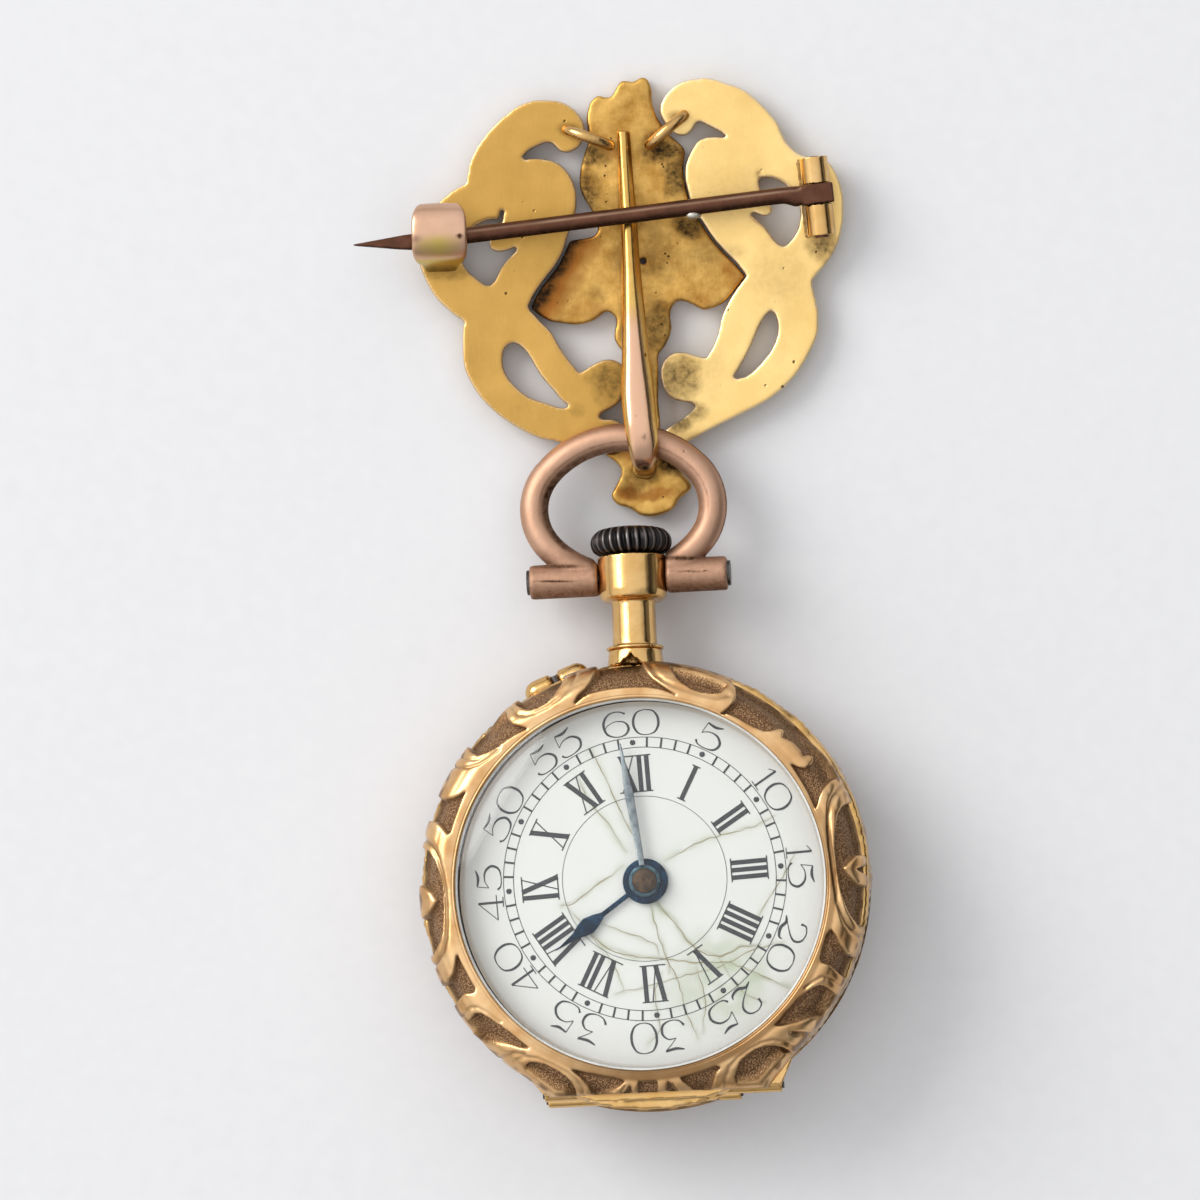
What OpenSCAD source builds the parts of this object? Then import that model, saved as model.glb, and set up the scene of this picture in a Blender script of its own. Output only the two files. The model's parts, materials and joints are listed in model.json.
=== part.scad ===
// Pendant watch hanging from its brooch, laid on a table: brooch face down, watch dial up.
// Millimetres. +Z is up, +Y points from the watch to the brooch, Z = 0 is the table.

/* [Case] */
// Outer diameter of the bezel
bezel_d = 26.2; // [26.1:0.1:26.4]
// Outer diameter of the case middle
middle_d = 26.5; // [26.4:0.1:26.6]
// Diameter of the crystal's opening in the bezel
opening_d = 22.0; // [21.9:0.1:22.2]
// Half the height of the case middle
middle_half = 1.2; // [1.1:0.05:1.3]
// Depth of the back below the case's mid plane
back_depth = 4.8; // [4.6:0.1:5.0]
// Radius of the back's dome
dome_r = 30; // [28:1:34]
// Height of the crystal's crest above the mid plane
crystal_crest = 4.9; // [4.8:0.05:5.1]

/* [Dial and hands] */
// Diameter of the enamel dial
dial_d = 21.1; // [20.5:0.1:21.2]
// Length of the minute hand
minute_len = 8.3; // [7:0.1:8.6]
// Length of the hour hand
hour_len = 6.8; // [6:0.1:7]
// Minute hand, degrees anticlockwise from 12
minute_at = 4.6; // [0:0.1:359]
// Hour hand, degrees anticlockwise from 12
hour_at = 121.8; // [0:0.1:359]

/* [Pendant and bow] */
// Distance from the case's centre to the bow's screws
bow_reach = 18.5; // [18.4:0.02:18.6]
// Diameter of the pendant's head
head_d = 4.1; // [3.9:0.05:4.2]
// Diameter of the pendant's neck
neck_d = 2.6; // [2.3:0.05:2.8]
// Diameter of the crown
crown_d = 4.8; // [4.4:0.1:4.8]
// Diameter of the bow's wire
bow_wire = 1.56; // [1.4:0.02:1.6]
// Half the width of the bow, to the middle of its wire
bow_half_w = 5.36; // [5.3:0.02:5.5]
// Outer diameter of the bow's tubes
tube_d = 1.9; // [1.8:0.05:2.0]

/* [Brooch] */
// Height of the scroll plates' backs above the table
plate_top = 1.55; // [1.4:0.05:1.6]
// Height of the centre plaque's back above the table
plaque_top = 1.3; // [1.1:0.05:1.35]
// Length of the pin stem from its hinge to its point
stem_len = 27.9; // [27.5:0.1:28.5]

/* [Resting posture] */
// Dip of the case towards the brooch
pitch = 4.5; // [4:0.1:5]
// Rise of the watch's right side
roll = 5; // [4.5:0.1:5.5]
// Turn of the watch in the table's plane
spin = 2.5; // [2:0.1:3]
// Further dip of the pendant, bent down where it is torn at its foot
droop = 3; // [2.5:0.1:3.5]

/* [Hidden] */

$fn = 96;
eps = 0.01;
table_gap = 0.03;

// Running clearance between a shaft and its bore, on the radius
fit = 0.03;
// Gap between two parts that open from one another
seam = 0.06;

// The whole part's middle, seen from above, is the origin
middle_x = 0.01;
middle_y = 0.1;

// The case stands on its dome, so its centre's height follows from the tilt
tilt_z = cos(pitch) * cos(roll);
case_z = dome_r - (dome_r - back_depth) * tilt_z + table_gap;
case_x = 2.02;
case_y = -17.36;

// Seams of the case, measured from its mid plane
bezel_foot = middle_half + seam;
bezel_top = 3.75;
bezel_r = bezel_d / 2;
middle_r = middle_d / 2;
opening_r = opening_d / 2;
well_r = 11.0;
ledge_r = 9.8;
ledge_z = -0.9;
movement_z = -0.5;
dial_z = 1.6;
dial_thick = 0.5;
crystal_thick = 0.7;
crystal_r = 44.3;
crystal_edge_r = 11.35;

// The dial and movement sit a little off centre and turned in the worn case
dial_x = 0.21;
dial_y = 0.2;
dial_turn = 3.3;

// Hinges at 6 o'clock: the bezel's above, the back's below and further out
knuckle_r = 0.42;
hinge_pin_r = 0.22;
hinge_clear = 0.06;
hinge_left = -6.45;
bezel_hinge_right = 7.7;
back_hinge_right = 5.1;
fixed_left = -1.9;
fixed_right = 3.7;
bezel_hinge = [-12.15, 1.0];
back_hinge = [-12.45, -1.0];
bezel_chord = -12.68;
ledge_top = 0.36;
ledge_low = 0;

// Pendant, along its own +Y from the case's centre
neck_foot = 12.6;
collar_top = 14.25;
neck_top = 17.05;
head_top = 19.76;
stem_bore_r = 0.45;
winding_r = 0.38;
crown_foot = 19.81;
crown_top = 21.48;

// Bow: an oval of four arcs that ends on two tubes beside the pendant's head
bow_half_h = 4.2;
bow_side_r = 3.3;
bow_side_x = bow_half_w - bow_side_r;
bow_rise = bow_half_h - bow_side_r;
bow_top_y = (bow_side_x * bow_side_x - bow_rise * bow_rise) / (2 * bow_rise);
bow_top_r = bow_half_h + bow_top_y;
bow_join = atan2(bow_top_y, bow_side_x);
bow_oval_x = -0.35;
bow_oval_y = 4.22;
bow_foot_at = 69;
bow_lift = 3.4;
bow_lap = 1.5;
bow_step = 0.01;
tube_in = 2.12;
tube_right = 5.63;
tube_left = 6.05;
screw_r = 0.35;
screw_head_r = 0.75;
screw_head = 0.22;
screw_in = 0.8;

// Push piece that frees the hands for setting, beside 11 o'clock
push_at = 111.0;
push_r = 0.35;
push_out = 13.72;
guard_r = 0.62;
guard_half = 1.28;

// Pin stem's hinge: its middle, its turn in the plan and its axle's height
hinge_x = 12.3;
hinge_y = 23.87;
stem_turn = 6.3;
axle_z = 2.55;
barrel_r = 0.84;
axle_r = 0.27;
barrel_low = [-2.4, -0.55];
barrel_high = [0.73, 2.3];
knuckle_span = [-0.5, 0.68];
stem_thick = 0.9;
stem_rise = 0.55;
stem_slope = 1.1;
stem_tail = 0.95;

// Catch: its middle and its turn in the plan
catch_x = -10.28;
catch_y = 21.83;
catch_turn = 1.5;
catch_half = 1.67;
catch_sheet = 0.36;

// Outlines of the brooch seen from the back. Each is a list of runs; a run is one smooth
// curve through its points, and the runs meet at sharp corners.
LEFT_EDGE = [
    [[-8.7, 24.6], [-8.5, 25.8], [-8.1, 26.7], [-7.7, 27.3], [-7.3, 27.8], [-6.7, 28.4],
     [-6.1, 28.9], [-5.5, 29.3], [-4.6, 29.6], [-3.7, 29.6], [-3.0, 29.5], [-2.3, 29.1],
     [-1.8, 28.5], [-1.6, 27.9], [-1.7, 27.3], [-2.0, 26.8], [-2.6, 26.5], [-3.1, 26.6],
     [-3.5, 27.0], [-3.9, 27.1], [-4.4, 26.9], [-5.0, 26.6], [-5.5, 26.0]],
    [[-5.5, 26.0], [-4.9, 26.1], [-4.2, 26.1], [-3.6, 26.0], [-3.0, 25.7], [-2.5, 25.1],
     [-2.2, 24.4], [-2.1, 23.6], [-2.2, 22.7], [-2.6, 21.6], [-2.9, 20.6], [-3.4, 19.7],
     [-4.1, 18.8], [-4.7, 17.9], [-5.0, 17.2]],
    [[-5.0, 17.2], [-4.3, 16.4], [-3.6, 15.7], [-3.1, 14.8], [-2.6, 14.1], [-2.2, 13.6],
     [-1.9, 13.3], [-1.4, 13.6], [-0.9, 13.9], [-0.3, 14.1], [0.3, 14.0], [0.8, 13.6],
     [1.0, 12.9], [0.8, 12.2], [0.4, 11.5], [-0.2, 11.1], [-0.6, 10.9], [-0.7, 10.6],
     [-0.4, 10.5], [0.1, 10.5], [0.7, 10.2]],
    [[0.7, 10.2], [0.9, 9.6], [0.5, 9.1], [-0.4, 8.7], [-1.4, 8.7], [-2.4, 8.9],
     [-3.3, 9.2], [-4.3, 9.4], [-5.2, 9.8], [-6.2, 10.4], [-7.0, 11.0], [-7.8, 11.8],
     [-8.4, 12.7], [-8.8, 13.6], [-8.9, 14.7], [-8.9, 15.7], [-8.8, 16.4]],
    [[-8.8, 16.4], [-9.3, 16.7], [-9.9, 17.2], [-10.5, 17.8], [-11.0, 18.6], [-11.4, 19.5],
     [-11.6, 20.4], [-11.6, 21.3], [-11.3, 22.2], [-10.8, 23.0], [-10.2, 23.6],
     [-9.5, 24.2], [-8.7, 24.6]]
];
LEFT_LEAF = [
    [[-2.2, 11.2], [-2.9, 11.6], [-3.5, 12.3], [-4.2, 13.1], [-4.8, 14.1], [-5.2, 14.7],
     [-5.8, 15.1], [-6.3, 14.9], [-6.5, 14.4], [-6.5, 13.7], [-6.2, 13.0], [-5.7, 12.4],
     [-4.9, 11.8], [-4.0, 11.5], [-3.1, 11.2], [-2.2, 11.2]]
];
LEFT_WINDOW = [
    [[-5.1, 21.4], [-5.7, 20.6], [-6.3, 20.0], [-6.7, 19.4], [-7.0, 18.8], [-7.4, 18.5],
     [-7.9, 18.8], [-8.5, 19.3], [-8.9, 19.9], [-8.9, 20.6], [-8.7, 21.4], [-8.3, 22.0],
     [-7.8, 22.3], [-7.3, 22.5], [-6.8, 22.5]],
    [[-6.8, 22.5], [-6.6, 23.1]],
    [[-6.6, 23.1], [-6.4, 23.1]],
    [[-6.4, 23.1], [-6.5, 22.4]],
    [[-6.5, 22.4], [-6.8, 21.9], [-7.2, 21.4], [-7.3, 20.9], [-7.0, 20.6], [-6.4, 20.6],
     [-5.7, 20.9], [-5.1, 21.4]]
];
RIGHT_EDGE = [
    [[7.2, 27.2], [6.6, 27.7], [6.0, 28.0], [5.4, 28.3], [5.1, 28.3], [4.8, 27.8],
     [4.3, 27.5], [3.7, 27.7], [3.2, 28.3], [2.9, 29.0], [3.1, 29.7], [3.6, 30.3],
     [4.2, 30.7], [5.1, 30.9], [6.0, 30.9], [6.9, 30.6], [7.8, 30.3], [8.6, 29.7],
     [9.3, 29.0], [9.9, 28.3], [10.3, 27.4], [10.7, 26.8], [11.4, 26.3], [12.3, 26.2],
     [13.0, 25.9], [13.5, 25.1], [13.8, 24.2], [13.9, 23.1], [13.8, 22.0], [13.5, 20.9],
     [12.9, 19.9], [12.3, 19.2], [12.0, 18.8]],
    [[12.0, 18.8], [12.1, 18.2], [12.3, 17.4], [12.4, 16.5], [12.3, 15.5], [11.8, 14.4],
     [11.2, 13.4], [10.4, 12.5], [9.4, 11.7], [8.3, 11.1], [7.1, 10.5], [5.9, 9.9],
     [4.8, 9.3], [4.0, 8.8], [3.4, 8.8], [3.1, 9.2], [3.2, 9.8], [3.7, 10.2],
     [4.3, 10.6], [4.8, 11.0], [5.0, 11.2], [4.8, 11.5], [4.2, 11.6], [3.6, 11.8],
     [3.2, 12.3], [3.0, 12.9], [3.0, 13.6], [3.3, 14.2], [3.8, 14.5], [4.5, 14.5],
     [5.1, 14.3], [5.7, 14.2]],
    [[5.7, 14.2], [6.1, 14.9], [6.4, 15.7], [6.6, 16.6], [7.0, 17.5], [7.5, 18.3],
     [8.1, 19.1]],
    [[8.1, 19.1], [7.5, 19.9], [6.8, 20.6], [6.1, 21.4], [5.5, 22.3], [4.9, 23.2],
     [4.6, 24.1], [4.4, 25.1], [4.5, 25.9], [4.8, 26.6], [5.2, 27.2], [5.8, 27.4],
     [6.5, 27.4], [7.2, 27.2]]
];
RIGHT_LEAF = [
    [[7.2, 12.9], [7.7, 13.7], [8.2, 14.6], [8.6, 15.5], [9.0, 16.4], [9.5, 17.0],
     [9.8, 16.8], [10.0, 16.0], [9.8, 15.1], [9.4, 14.4], [8.8, 13.7], [8.1, 13.1],
     [7.2, 12.9]]
];
RIGHT_WINDOW = [
    [[8.7, 25.5], [8.9, 25.5]],
    [[8.9, 25.5], [9.0, 25.0]],
    [[9.0, 25.0], [9.5, 25.0], [10.1, 24.8], [10.6, 24.4], [11.1, 23.8], [11.3, 23.0],
     [11.2, 22.0], [10.8, 21.3], [10.4, 20.9], [10.0, 21.0], [9.6, 21.4], [9.2, 22.0],
     [8.6, 22.5], [8.1, 23.0]],
    [[8.1, 23.0], [8.6, 22.9], [9.1, 22.7], [9.5, 22.8], [9.6, 23.2], [9.2, 23.6],
     [8.9, 24.2], [8.8, 24.9], [8.7, 25.5]]
];
PLAQUE_EDGE = [
    [[-1.5, 28.5], [-1.4, 29.1], [-1.2, 29.6], [-0.8, 29.9], [-0.4, 29.8], [0.0, 29.8]],
    [[0.0, 29.8], [0.2, 30.2], [0.5, 30.7], [0.8, 30.8], [1.3, 30.7]],
    [[1.3, 30.7], [1.6, 30.9], [1.9, 31.0], [2.2, 30.8], [2.4, 30.2], [2.4, 29.6],
     [2.6, 28.9], [2.9, 28.3], [3.4, 27.6], [4.0, 27.1], [4.4, 26.6], [4.3, 25.9],
     [4.3, 25.1], [4.5, 24.1], [4.8, 23.1], [5.4, 22.2], [6.0, 21.3], [6.7, 20.5],
     [7.4, 19.8], [8.0, 19.1]],
    [[8.0, 19.1], [7.4, 18.3], [6.9, 17.7], [6.5, 17.4], [6.0, 17.2], [5.5, 17.1],
     [4.9, 17.4], [4.4, 17.6], [3.9, 17.6], [3.6, 17.2], [3.5, 16.7], [3.6, 16.0],
     [3.4, 15.3], [3.1, 14.8], [2.8, 14.4], [2.8, 13.6], [2.8, 12.6], [2.8, 11.6],
     [2.9, 10.6], [2.9, 9.6], [2.9, 9.0], [3.1, 8.4], [3.6, 8.0], [4.1, 7.4],
     [4.5, 7.0], [4.8, 6.5], [4.6, 6.2], [4.2, 5.9], [4.0, 5.7], [3.8, 5.3],
     [3.4, 5.0], [2.9, 4.8], [2.3, 4.7], [1.7, 4.8], [1.3, 5.1], [0.8, 5.3],
     [0.4, 5.4], [0.1, 5.7], [0.0, 6.0], [0.2, 6.4], [0.4, 6.8], [0.6, 7.3],
     [0.5, 7.7], [0.1, 8.1], [-0.4, 8.4]],
    [[-0.4, 8.4], [0.4, 8.7], [1.0, 9.1], [1.2, 9.8], [1.2, 10.8], [1.2, 11.8],
     [1.3, 12.8], [1.2, 13.7], [0.9, 14.3], [0.5, 14.8], [0.2, 15.3], [0.2, 15.8],
     [0.3, 16.3], [0.2, 16.7], [-0.2, 17.0], [-0.6, 16.8], [-1.0, 16.5], [-1.5, 16.3],
     [-2.2, 16.2], [-2.9, 16.3], [-3.6, 16.4], [-4.2, 16.7], [-4.8, 17.2]],
    [[-4.8, 17.2], [-4.5, 17.9], [-3.9, 18.8], [-3.2, 19.7], [-2.8, 20.5], [-2.5, 21.2]],
    [[-2.5, 21.2], [-2.0, 21.3], [-1.3, 21.4], [-0.9, 21.6]],
    [[-0.9, 21.6], [-0.8, 22.0], [-1.0, 22.7], [-1.4, 23.4], [-1.7, 23.9], [-1.9, 24.5],
     [-1.9, 25.1], [-1.8, 25.8], [-1.6, 26.5], [-1.4, 27.1], [-1.4, 27.8], [-1.5, 28.5]]
];
PLAQUE_HOLE = [1.9, 20.0];
PLAQUE_HOLE_R = 0.22;

// Hook: a row is the distance up the brooch, then its left and right edges there
HOOK_PLAN = [
    [27.8, 0.3, 1.1], [20.2, 0.6, 1.7], [14.2, 0.6, 2.3], [10.2, 0.7, 2.6],
    [8.8, 0.9, 2.8], [7.8, 1.3, 2.7], [7.2, 1.8, 2.4]
];
// Hook seen from the side: distance up the brooch and height, over its tongue and bend
HOOK_OVER = [
    [27.8, 2.0], [22.7, 2.65], [17.0, 3.6], [12.0, 4.5], [10.2, 4.85], [9.0, 4.8],
    [8.0, 4.4], [7.4, 3.7], [7.2, 2.8]
];
// Hook seen from the side, under its tongue and bend
HOOK_UNDER = [
    [8.0, 2.0], [8.05, 3.0], [8.4, 3.7], [9.1, 4.05], [10.2, 4.05], [12.0, 3.7],
    [17.0, 2.85], [22.7, 2.05], [27.8, 1.45]
];
// Catch seen along the stem: the middle of its sheet, from its foot over to its lip
CATCH_ROLL = [
    [-2.4, 1.4], [-2.15, 2.1], [-2.0, 2.9], [-1.8, 3.75], [-1.35, 4.4], [-0.5, 4.7],
    [0.4, 4.65], [1.05, 4.35], [1.35, 3.85], [1.35, 3.45]
];
// Catch seen from above: its strip with cut corners, then the wedge it stands on
CATCH_PLAN = [
    [-1.1, -2.6], [-1.1, -1.9], [-1.67, -1.3], [-1.67, 1.0], [-1.3, 1.4], [-0.8, 1.6],
    [0.9, 1.6], [1.4, 1.4], [1.67, 0.9], [1.67, -1.3], [1.1, -1.9], [1.1, -2.6]
];
// Stem seen from above: slightly bent, tapered to its point
STEM_PLAN = [
    [0, 0.68], [-0.9, 0.68], [-1.0, 0.66], [-2.8, 0.7], [-11.7, 0.5], [-20.9, 0.4],
    [-24.6, 0.33], [-stem_len, 0.08], [-stem_len, 0.02], [-25.2, -0.5], [-24.4, -0.62],
    [-20.9, -0.6], [-11.7, -0.42], [-2.8, -0.28], [-1.0, -0.3], [-0.9, -0.5], [0, -0.5]
];

// A point on a smooth curve between b and c, at t from 0 to 1, led in by a and out to d
function between(a, b, c, d, t) =
    0.5 * (2 * b + (c - a) * t + (2 * a - 5 * b + 4 * c - d) * t * t
        + (3 * b - a - 3 * c + d) * t * t * t);

// The curve through a run's points, without its last one
function run_curve(run, steps = 3) = len(run) == 2 ? [run[0]] : [
    for (i = [0 : len(run) - 2])
        let (
            before = run[max(i - 1, 0)],
            after = run[min(i + 2, len(run) - 1)]
        )
        for (s = [0 : steps - 1]) between(before, run[i], run[i + 1], after, s / steps)
];
function edge_points(runs) = [for (run = runs) each run_curve(run)];

// The two faces of a bent sheet, from the middle line of its section
function normal_at(line, i) =
    let (
        step = line[min(i + 1, len(line) - 1)] - line[max(i - 1, 0)],
        size = norm(step)
    )
    [-step[1], step[0]] / size;
function sheet_section(line, thick) = concat(
    [for (i = [0 : len(line) - 1]) line[i] + normal_at(line, i) * thick / 2],
    [for (i = [len(line) - 1 : -1 : 0]) line[i] - normal_at(line, i) * thick / 2]
);

// Places the shapes of the whole part about the origin
module place_part() {
    translate([-middle_x, -middle_y, 0]) children();
}

// Places a shape drawn in the watch's frame: centre of the case, +Z out of the dial
module place_watch() {
    place_part()
        translate([case_x, case_y, case_z])
            rotate([0, 0, spin])
                rotate([-pitch, 0, 0])
                    rotate([0, -roll, 0])
                        children();
}

// Bends a shape of the watch's frame down with the pendant
module drooped() {
    translate([0, neck_foot, 0]) rotate([-droop, 0, 0]) translate([0, -neck_foot, 0]) children();
}

// Places a shape drawn in the bow's frame: +X along its screws, +Y to its crest
module place_bow() {
    place_watch() drooped() translate([0, bow_reach, 0]) rotate([bow_lift, 0, 0]) children();
}

// Places a shape drawn in the dial's frame
module place_dial() {
    place_watch() translate([dial_x, dial_y, 0]) rotate([0, 0, dial_turn]) children();
}

// Places a shape drawn in the stem's frame: its hinge, with the stem along -X
module place_stem() {
    place_part() translate([hinge_x, hinge_y, 0]) rotate([0, 0, stem_turn]) children();
}

// A rod along X at a place in the YZ plane
module rod_x(from, to, r, at) {
    translate([from, at[0], at[1]]) rotate([0, 90, 0]) cylinder(r = r, h = to - from);
}

// A rod along Y at a height
module rod_y(from, to, r, z = 0) {
    translate([0, from, z]) rotate([-90, 0, 0]) cylinder(r = r, h = to - from);
}

// A block given by its two corners
module block(low, high) {
    translate(low) cube(high - low);
}

// A pierced scroll plate: its edge and the openings sawn through it
module pierced_plate(edge, openings) {
    linear_extrude(plate_top) difference() {
        polygon(edge_points(edge));
        for (opening = openings) polygon(edge_points(opening));
    }
}

// A staple of wire between two plates, its legs on their backs
module wire_staple(at, turn, z, arc_r = 1.62, wire_r = 0.33, half_angle = 60) {
    translate([at[0], at[1], z - arc_r * cos(half_angle)])
        rotate([90, 0, turn])
            rotate([0, 0, 90 - half_angle])
                rotate_extrude(angle = 2 * half_angle)
                    translate([arc_r, 0]) circle(r = wire_r, $fn = 32);
}

module left_scroll() {
    color("goldenrod") place_part() pierced_plate(LEFT_EDGE, [LEFT_LEAF, LEFT_WINDOW]);
}

module right_scroll() {
    color("goldenrod") place_part() pierced_plate(RIGHT_EDGE, [RIGHT_LEAF, RIGHT_WINDOW]);
}

module centre_plaque() {
    plaque_foot = 0.15;
    color("darkgoldenrod") place_part() difference() {
        translate([0, 0, plaque_foot])
            linear_extrude(plaque_top - plaque_foot) polygon(edge_points(PLAQUE_EDGE));
        translate([PLAQUE_HOLE[0], PLAQUE_HOLE[1], -eps])
            cylinder(r = PLAQUE_HOLE_R, h = plaque_top + 1, $fn = 32);
    }
}

module jump_ring_left() {
    color("gold") place_part() wire_staple([-1.4, 27.35], -20, plate_top + 0.23);
}

module jump_ring_right() {
    color("gold") place_part() wire_staple([3.3, 27.8], 41, plate_top + 0.23);
}

// The hook is its plan pushed through its side view
module hook() {
    plan = concat(
        [for (row = HOOK_PLAN) [row[1], row[0]]],
        [for (i = [len(HOOK_PLAN) - 1 : -1 : 0]) [HOOK_PLAN[i][2], HOOK_PLAN[i][0]]]
    );
    side = concat(
        HOOK_OVER,
        [[7.2, plaque_top], [8.2, plaque_top]],
        HOOK_UNDER
    );
    color("rosybrown") place_part() intersection() {
        linear_extrude(6) polygon(plan);
        rotate([90, 0, 90]) linear_extrude(4) polygon(side);
    }
}

// The catch is a rolled strip, open towards the brooch's top
module catch() {
    color("rosybrown") place_part()
        translate([catch_x, catch_y, 0])
            rotate([0, 0, catch_turn])
                intersection() {
                    translate([-catch_half, 0, 0])
                        rotate([90, 0, 90])
                            linear_extrude(2 * catch_half)
                                difference() {
                                    polygon(sheet_section(CATCH_ROLL, catch_sheet));
                                    translate([-4, -1]) square([8, 1 + plate_top]);
                                }
                    linear_extrude(6) polygon(CATCH_PLAN);
                }
}

module hinge_barrel(span) {
    difference() {
        union() {
            rod_y(span[0], span[1], barrel_r, axle_z);
            block([-0.62, span[0], plate_top], [0.62, span[1], axle_z]);
        }
        rod_y(span[0] - eps, span[1] + eps, axle_r, axle_z);
    }
}

module pin_hinge() {
    color("gold") place_stem() union() {
        hinge_barrel(barrel_low);
        hinge_barrel(barrel_high);
        block([-0.7, barrel_low[0], plate_top], [0.7, barrel_low[1], plate_top + 0.12]);
        block([-0.7, barrel_high[0], plate_top], [0.7, barrel_high[1], plate_top + 0.12]);
        block([-1.0, barrel_low[0], plate_top], [-0.62, barrel_high[1], plate_top + 0.12]);
    }
}

module hinge_rivet() {
    color("dimgray") place_stem() union() {
        rod_y(barrel_low[0] - 0.1, barrel_high[1] + 0.05, axle_r, axle_z);
        rod_y(barrel_low[0] - 0.12, barrel_low[0] - eps, axle_r + 0.15, axle_z);
    }
}

// The stem is a bar that tapers to its point, on a knuckle between the barrels
module pin_stem() {
    block_low = axle_z + stem_rise - stem_thick / 2;
    color("saddlebrown") place_stem() difference() {
        union() {
            translate([0, 0, axle_z + stem_rise])
                rotate([0, stem_slope, 0])
                    translate([0, 0, -stem_thick / 2])
                        linear_extrude(stem_thick) polygon(STEM_PLAN);
            rod_y(knuckle_span[0], knuckle_span[1], barrel_r, axle_z);
            block(
                [-0.9, knuckle_span[0], block_low],
                [stem_tail, knuckle_span[1], block_low + stem_thick]
            );
        }
        rod_y(knuckle_span[0] - 1, knuckle_span[1] + 1, axle_r + fit, axle_z);
    }
}

// A stretch of round wire along an arc about a centre on the bow's own Y axis or beside it
module wire_arc(centre, arc_r, from, to, wire_r) {
    translate([centre[0], centre[1], 0])
        rotate([0, 0, from])
            rotate_extrude(angle = to - from)
                translate([arc_r, 0]) circle(r = wire_r, $fn = 48);
}

// The bow's oval has a flat arc on top, two round arcs at its sides and two flat feet; the flat
// arcs are a hair thinner and lap into the round ones
module bow() {
    wire_r = bow_wire / 2;
    thin_r = wire_r - bow_step;
    color("rosybrown") place_bow() difference() {
        union() {
            translate([bow_oval_x, bow_oval_y, 0]) {
                wire_arc(
                    [0, -bow_top_y], bow_top_r, bow_join - bow_lap, 180 - bow_join + bow_lap, thin_r
                );
                for (side = [0, 1]) mirror([side, 0, 0]) {
                    wire_arc([bow_side_x, 0], bow_side_r, -bow_join, bow_join, wire_r);
                    wire_arc([0, bow_top_y], bow_top_r, -bow_foot_at, -bow_join + bow_lap, thin_r);
                }
            }
            rod_x(tube_in, tube_right, tube_d / 2, [0, 0]);
            rod_x(-tube_left, -tube_in, tube_d / 2, [0, 0]);
        }
        rod_x(-8, 8, screw_r + fit, [0, 0]);
        block([-tube_in, -3, -3], [tube_in, 2.2, 3]);
    }
}

// A screw from the pendant's head out through a tube, with its head on the tube's end
module bow_screw(tube_end) {
    slot_w = 0.2;
    slot_deep = 0.12;
    out = tube_end + fit + screw_head;
    difference() {
        union() {
            rod_x(screw_in, tube_end + fit + eps, screw_r, [0, 0]);
            rod_x(tube_end + fit, out, screw_head_r, [0, 0]);
        }
        block([out - slot_deep, -2, -slot_w / 2], [out + 1, 2, slot_w / 2]);
    }
}

module bow_screw_right() {
    color("dimgray") place_bow() bow_screw(tube_right);
}

module bow_screw_left() {
    color("dimgray") place_bow() mirror([1, 0, 0]) bow_screw(tube_left);
}

module case_middle() {
    color("gold") place_watch() difference() {
        union() {
            difference() {
                rotate_extrude() polygon([
                    [ledge_r, ledge_z], [ledge_r, movement_z], [well_r, movement_z],
                    [well_r, middle_half], [middle_r - 0.15, middle_half],
                    [middle_r, middle_half - 0.3], [middle_r, -middle_half + 0.3],
                    [middle_r - 0.15, -middle_half], [well_r, -middle_half],
                    [well_r, ledge_z]
                ]);
                rod_x(-9, 9, knuckle_r + hinge_clear, bezel_hinge);
                rod_x(-9, 9, knuckle_r + hinge_clear, back_hinge);
                block([-9, -14, ledge_top], [9, bezel_hinge[0], 2]);
                block([-9, -14, -2], [9, back_hinge[0] + knuckle_r, ledge_low]);
            }
            rod_x(fixed_left, fixed_right, knuckle_r, bezel_hinge);
            rod_x(fixed_left, fixed_right, knuckle_r, back_hinge);
            block(
                [fixed_left, bezel_hinge[0] - knuckle_r, ledge_top - 0.3],
                [fixed_right, bezel_hinge[0] + knuckle_r, bezel_hinge[1]]
            );
            block(
                [fixed_left, back_hinge[0] - knuckle_r, back_hinge[1]],
                [fixed_right, back_hinge[0] + knuckle_r, ledge_low + 0.2]
            );
        }
        rod_x(-9, 9, hinge_pin_r, bezel_hinge);
        rod_x(-9, 9, hinge_pin_r, back_hinge);
        drooped() rod_y(9, 15, stem_bore_r);
        rotate([0, 0, push_at - 90]) rod_y(9, 15, push_r + fit);
        cylinder(r = ledge_r, h = 6, center = true);
    }
}

// Head, neck and foot of the pendant, soldered to the case middle
module pendant() {
    head_r = head_d / 2;
    neck_r = neck_d / 2;
    foot_r = neck_r + 0.45;
    color("gold") place_watch() difference() {
        drooped() difference() {
            rotate([-90, 0, 0]) rotate_extrude() polygon([
                [stem_bore_r, neck_foot], [foot_r, neck_foot], [neck_r + 0.3, collar_top - 0.2],
                [neck_r + 0.2, collar_top], [neck_r + 0.03, collar_top + 0.15],
                [neck_r, neck_top], [neck_r + 0.4, neck_top], [head_r - 0.1, neck_top + 0.2],
                [head_r, neck_top + 0.55], [head_r, head_top], [stem_bore_r, head_top]
            ]);
            translate([0, bow_reach, 0]) for (side = [0, 1]) mirror([side, 0, 0])
                rod_x(screw_in, 4, screw_r, [0, 0]);
        }
        cylinder(r = middle_r, h = 8, center = true);
        translate([0, 0, -4 - middle_half]) cylinder(r = middle_r + 0.15, h = 4);
    }
}

module winding_stem() {
    color("dimgray") place_watch() drooped() rod_y(11.3, crown_foot, winding_r);
}

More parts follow.
